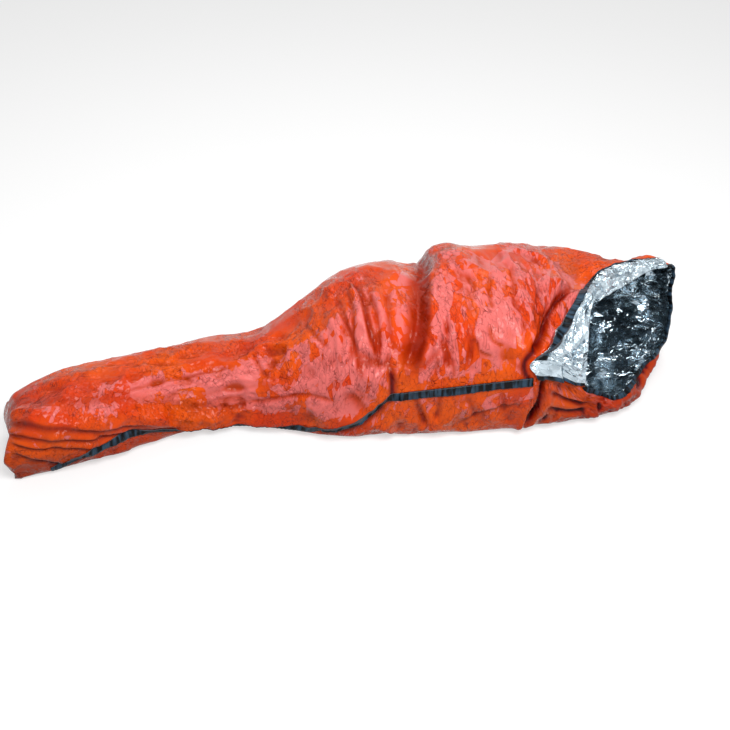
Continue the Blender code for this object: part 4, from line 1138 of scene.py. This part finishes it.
def black_tape():
    """Thin tape of fine weave, puckered across by its stitches, with painted highlights on the puckers,
    painted shade between them, and a painted highlight line along each edge.
    """
    made, tree, shader = new_material("black_tape_look")
    flat = add(tree, "TexCoord").outputs["UV"]
    along = add(tree, "Mapping", {"Vector": flat, "Scale": (62.0, 9.0, 1.0)})
    pucker = noise(tree, along, 1.0, 2.0, 0.4)
    fine = noise(tree, along, 5.0, 2.0)
    bump(tree, shader, maths(tree, "MULTIPLY_ADD", fine, 0.15, pucker), 0.010, 0.9)
    # Painted highlights and shade: bluish bands on the puckers, near black between them
    painted_pucker_sheen = ramp(tree, pucker, (0.46, (0.001, 0.001, 0.002)), (0.60, (0.030, 0.060, 0.095)))
    # Painted highlight: a grey line along each edge
    across = add(tree, "SeparateXYZ", {"Vector": flat}).outputs["Y"]
    edge = ranged(tree, maths(tree, "ABSOLUTE", across), 0.0112, 0.0120)
    colour = mix(tree, edge, painted_pucker_sheen, (0.07, 0.07, 0.08, 1))
    feed(shader, {"Base Color": colour, "Roughness": 0.40, "Specular IOR Level": 0.12})
    return made


def black_webbing():
    made, tree, shader = new_material("black_webbing_look")
    place = add(tree, "TexCoord").outputs["Object"]
    bump(tree, shader, noise(tree, place, 900.0, 2.0), 0.0008, 0.7)
    feed(shader, {"Base Color": (0.012, 0.014, 0.018, 1), "Roughness": 0.85})
    return made


def stretch_cord():
    made, tree, shader = new_material("stretch_cord_look")
    place = add(tree, "TexCoord").outputs["Object"]
    braid = add(tree, "TexWave", {"Vector": place, "Scale": 300.0, "Distortion": 0.5}).outputs["Fac"]
    bump(tree, shader, braid, 0.0003, 0.6)
    feed(shader, {"Base Color": (0.03, 0.03, 0.032, 1), "Roughness": 0.7})
    return made


def make_floor():
    """Pale floor. The camera sees it whiter than it lights the film from below."""
    bpy.ops.object.select_all(action="DESELECT")
    bpy.ops.mesh.primitive_plane_add(size=30.0, location=(0, 0, 0))
    floor = bpy.context.object
    floor.name = "floor"
    made, tree, shader = new_material("pale_floor")
    feed(shader, {"Base Color": (0.42, 0.42, 0.42, 1), "Roughness": 1.0, "Specular IOR Level": 0.0})
    white = add(tree, "BsdfDiffuse", {"Color": (0.96, 0.96, 0.96, 1)})
    glow = add(tree, "Emission", {"Strength": 1.2})
    seen_floor = add(tree, "MixShader", {"Fac": 0.49, 1: white, 2: glow})
    blend = add(tree, "MixShader", {"Fac": seen_by(tree), 1: shader, 2: seen_floor})
    feed(tree.nodes["Material Output"], {"Surface": blend})
    floor.data.materials.append(made)


def seen_by(tree):
    """1 for what the camera sees, straight or in a gloss or through glass."""
    path = add(tree, "LightPath").outputs
    either = maths(tree, "MAXIMUM", path["Is Camera Ray"], path["Is Glossy Ray"])
    return maths(tree, "MAXIMUM", either, path["Is Transmission Ray"])


def make_light():
    """White world that lights less than it shows, and two wide lamps."""
    world = bpy.data.worlds.new("studio")
    bpy.context.scene.world = world
    world.use_nodes = True
    tree = world.node_tree
    level = ranged(tree, seen_by(tree), 0.0, 1.0, 0.26, 1.0, "LINEAR")
    feed(tree.nodes["Background"], {"Color": (1.0, 1.0, 1.0, 1), "Strength": level})
    for name, place, size, power in (("overhead", (0.3, 1.25, 3.1), (2.4, 1.0), 40.0),
                                     ("front", (0.15, -1.95, 2.55), (1.7, 1.2), 95.0)):
        lamp = bpy.data.lights.new(name, "AREA")
        lamp.shape = "RECTANGLE"
        lamp.size, lamp.size_y = size
        lamp.energy = power
        thing = bpy.data.objects.new(name, lamp)
        thing.location = place
        aim(thing, (0.0, 0.0, 0.2))
        bpy.context.scene.collection.objects.link(thing)


def aim(thing, target):
    way = Vector(target) - Vector(thing.location)
    thing.rotation_euler = way.to_track_quat("-Z", "Y").to_euler()


def make_camera():
    """Camera placed so that the bag lies in the picture as it does in the photograph."""
    level, rise = math.cos(CAMERA_RISE), math.sin(CAMERA_RISE)
    target = np.array((0.0, 0.0, 0.15)) + SHIFT
    back = np.array((math.sin(CAMERA_TURN) * level, -math.cos(CAMERA_TURN) * level, rise))
    lens = bpy.data.cameras.new("camera")
    lens.sensor_width = SENSOR
    lens.lens = SENSOR * (CAMERA_DISTANCE / PIXEL) / PICTURE
    lens.shift_x, lens.shift_y = MIDDLE[0] / PICTURE, MIDDLE[1] / PICTURE
    lens.clip_end = 100.0
    camera = bpy.data.objects.new("camera", lens)
    camera.location = target + back * CAMERA_DISTANCE
    aim(camera, target)
    bpy.context.scene.collection.objects.link(camera)
    bpy.context.scene.camera = camera


make_camera()
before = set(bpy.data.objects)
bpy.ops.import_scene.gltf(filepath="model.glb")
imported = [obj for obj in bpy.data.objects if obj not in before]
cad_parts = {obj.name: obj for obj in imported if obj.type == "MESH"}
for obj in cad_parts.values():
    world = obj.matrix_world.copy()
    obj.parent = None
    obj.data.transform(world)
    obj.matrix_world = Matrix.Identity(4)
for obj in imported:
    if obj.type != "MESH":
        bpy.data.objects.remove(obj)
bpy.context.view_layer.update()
bpy.context.scene.view_settings.view_transform = "Standard"
MATERIALS = {"orange_film": orange_film(), "silver_film": silver_film(), "black_tape": black_tape(),
             "black_webbing": black_webbing(), "stretch_cord": stretch_cord()}
make_floor()
make_light()
skin = Skin()
fold_and_crumple(skin)
make_panels(skin)
make_seams_and_side_flap(skin)
make_turned_edge(skin)
make_corded_rim(skin)
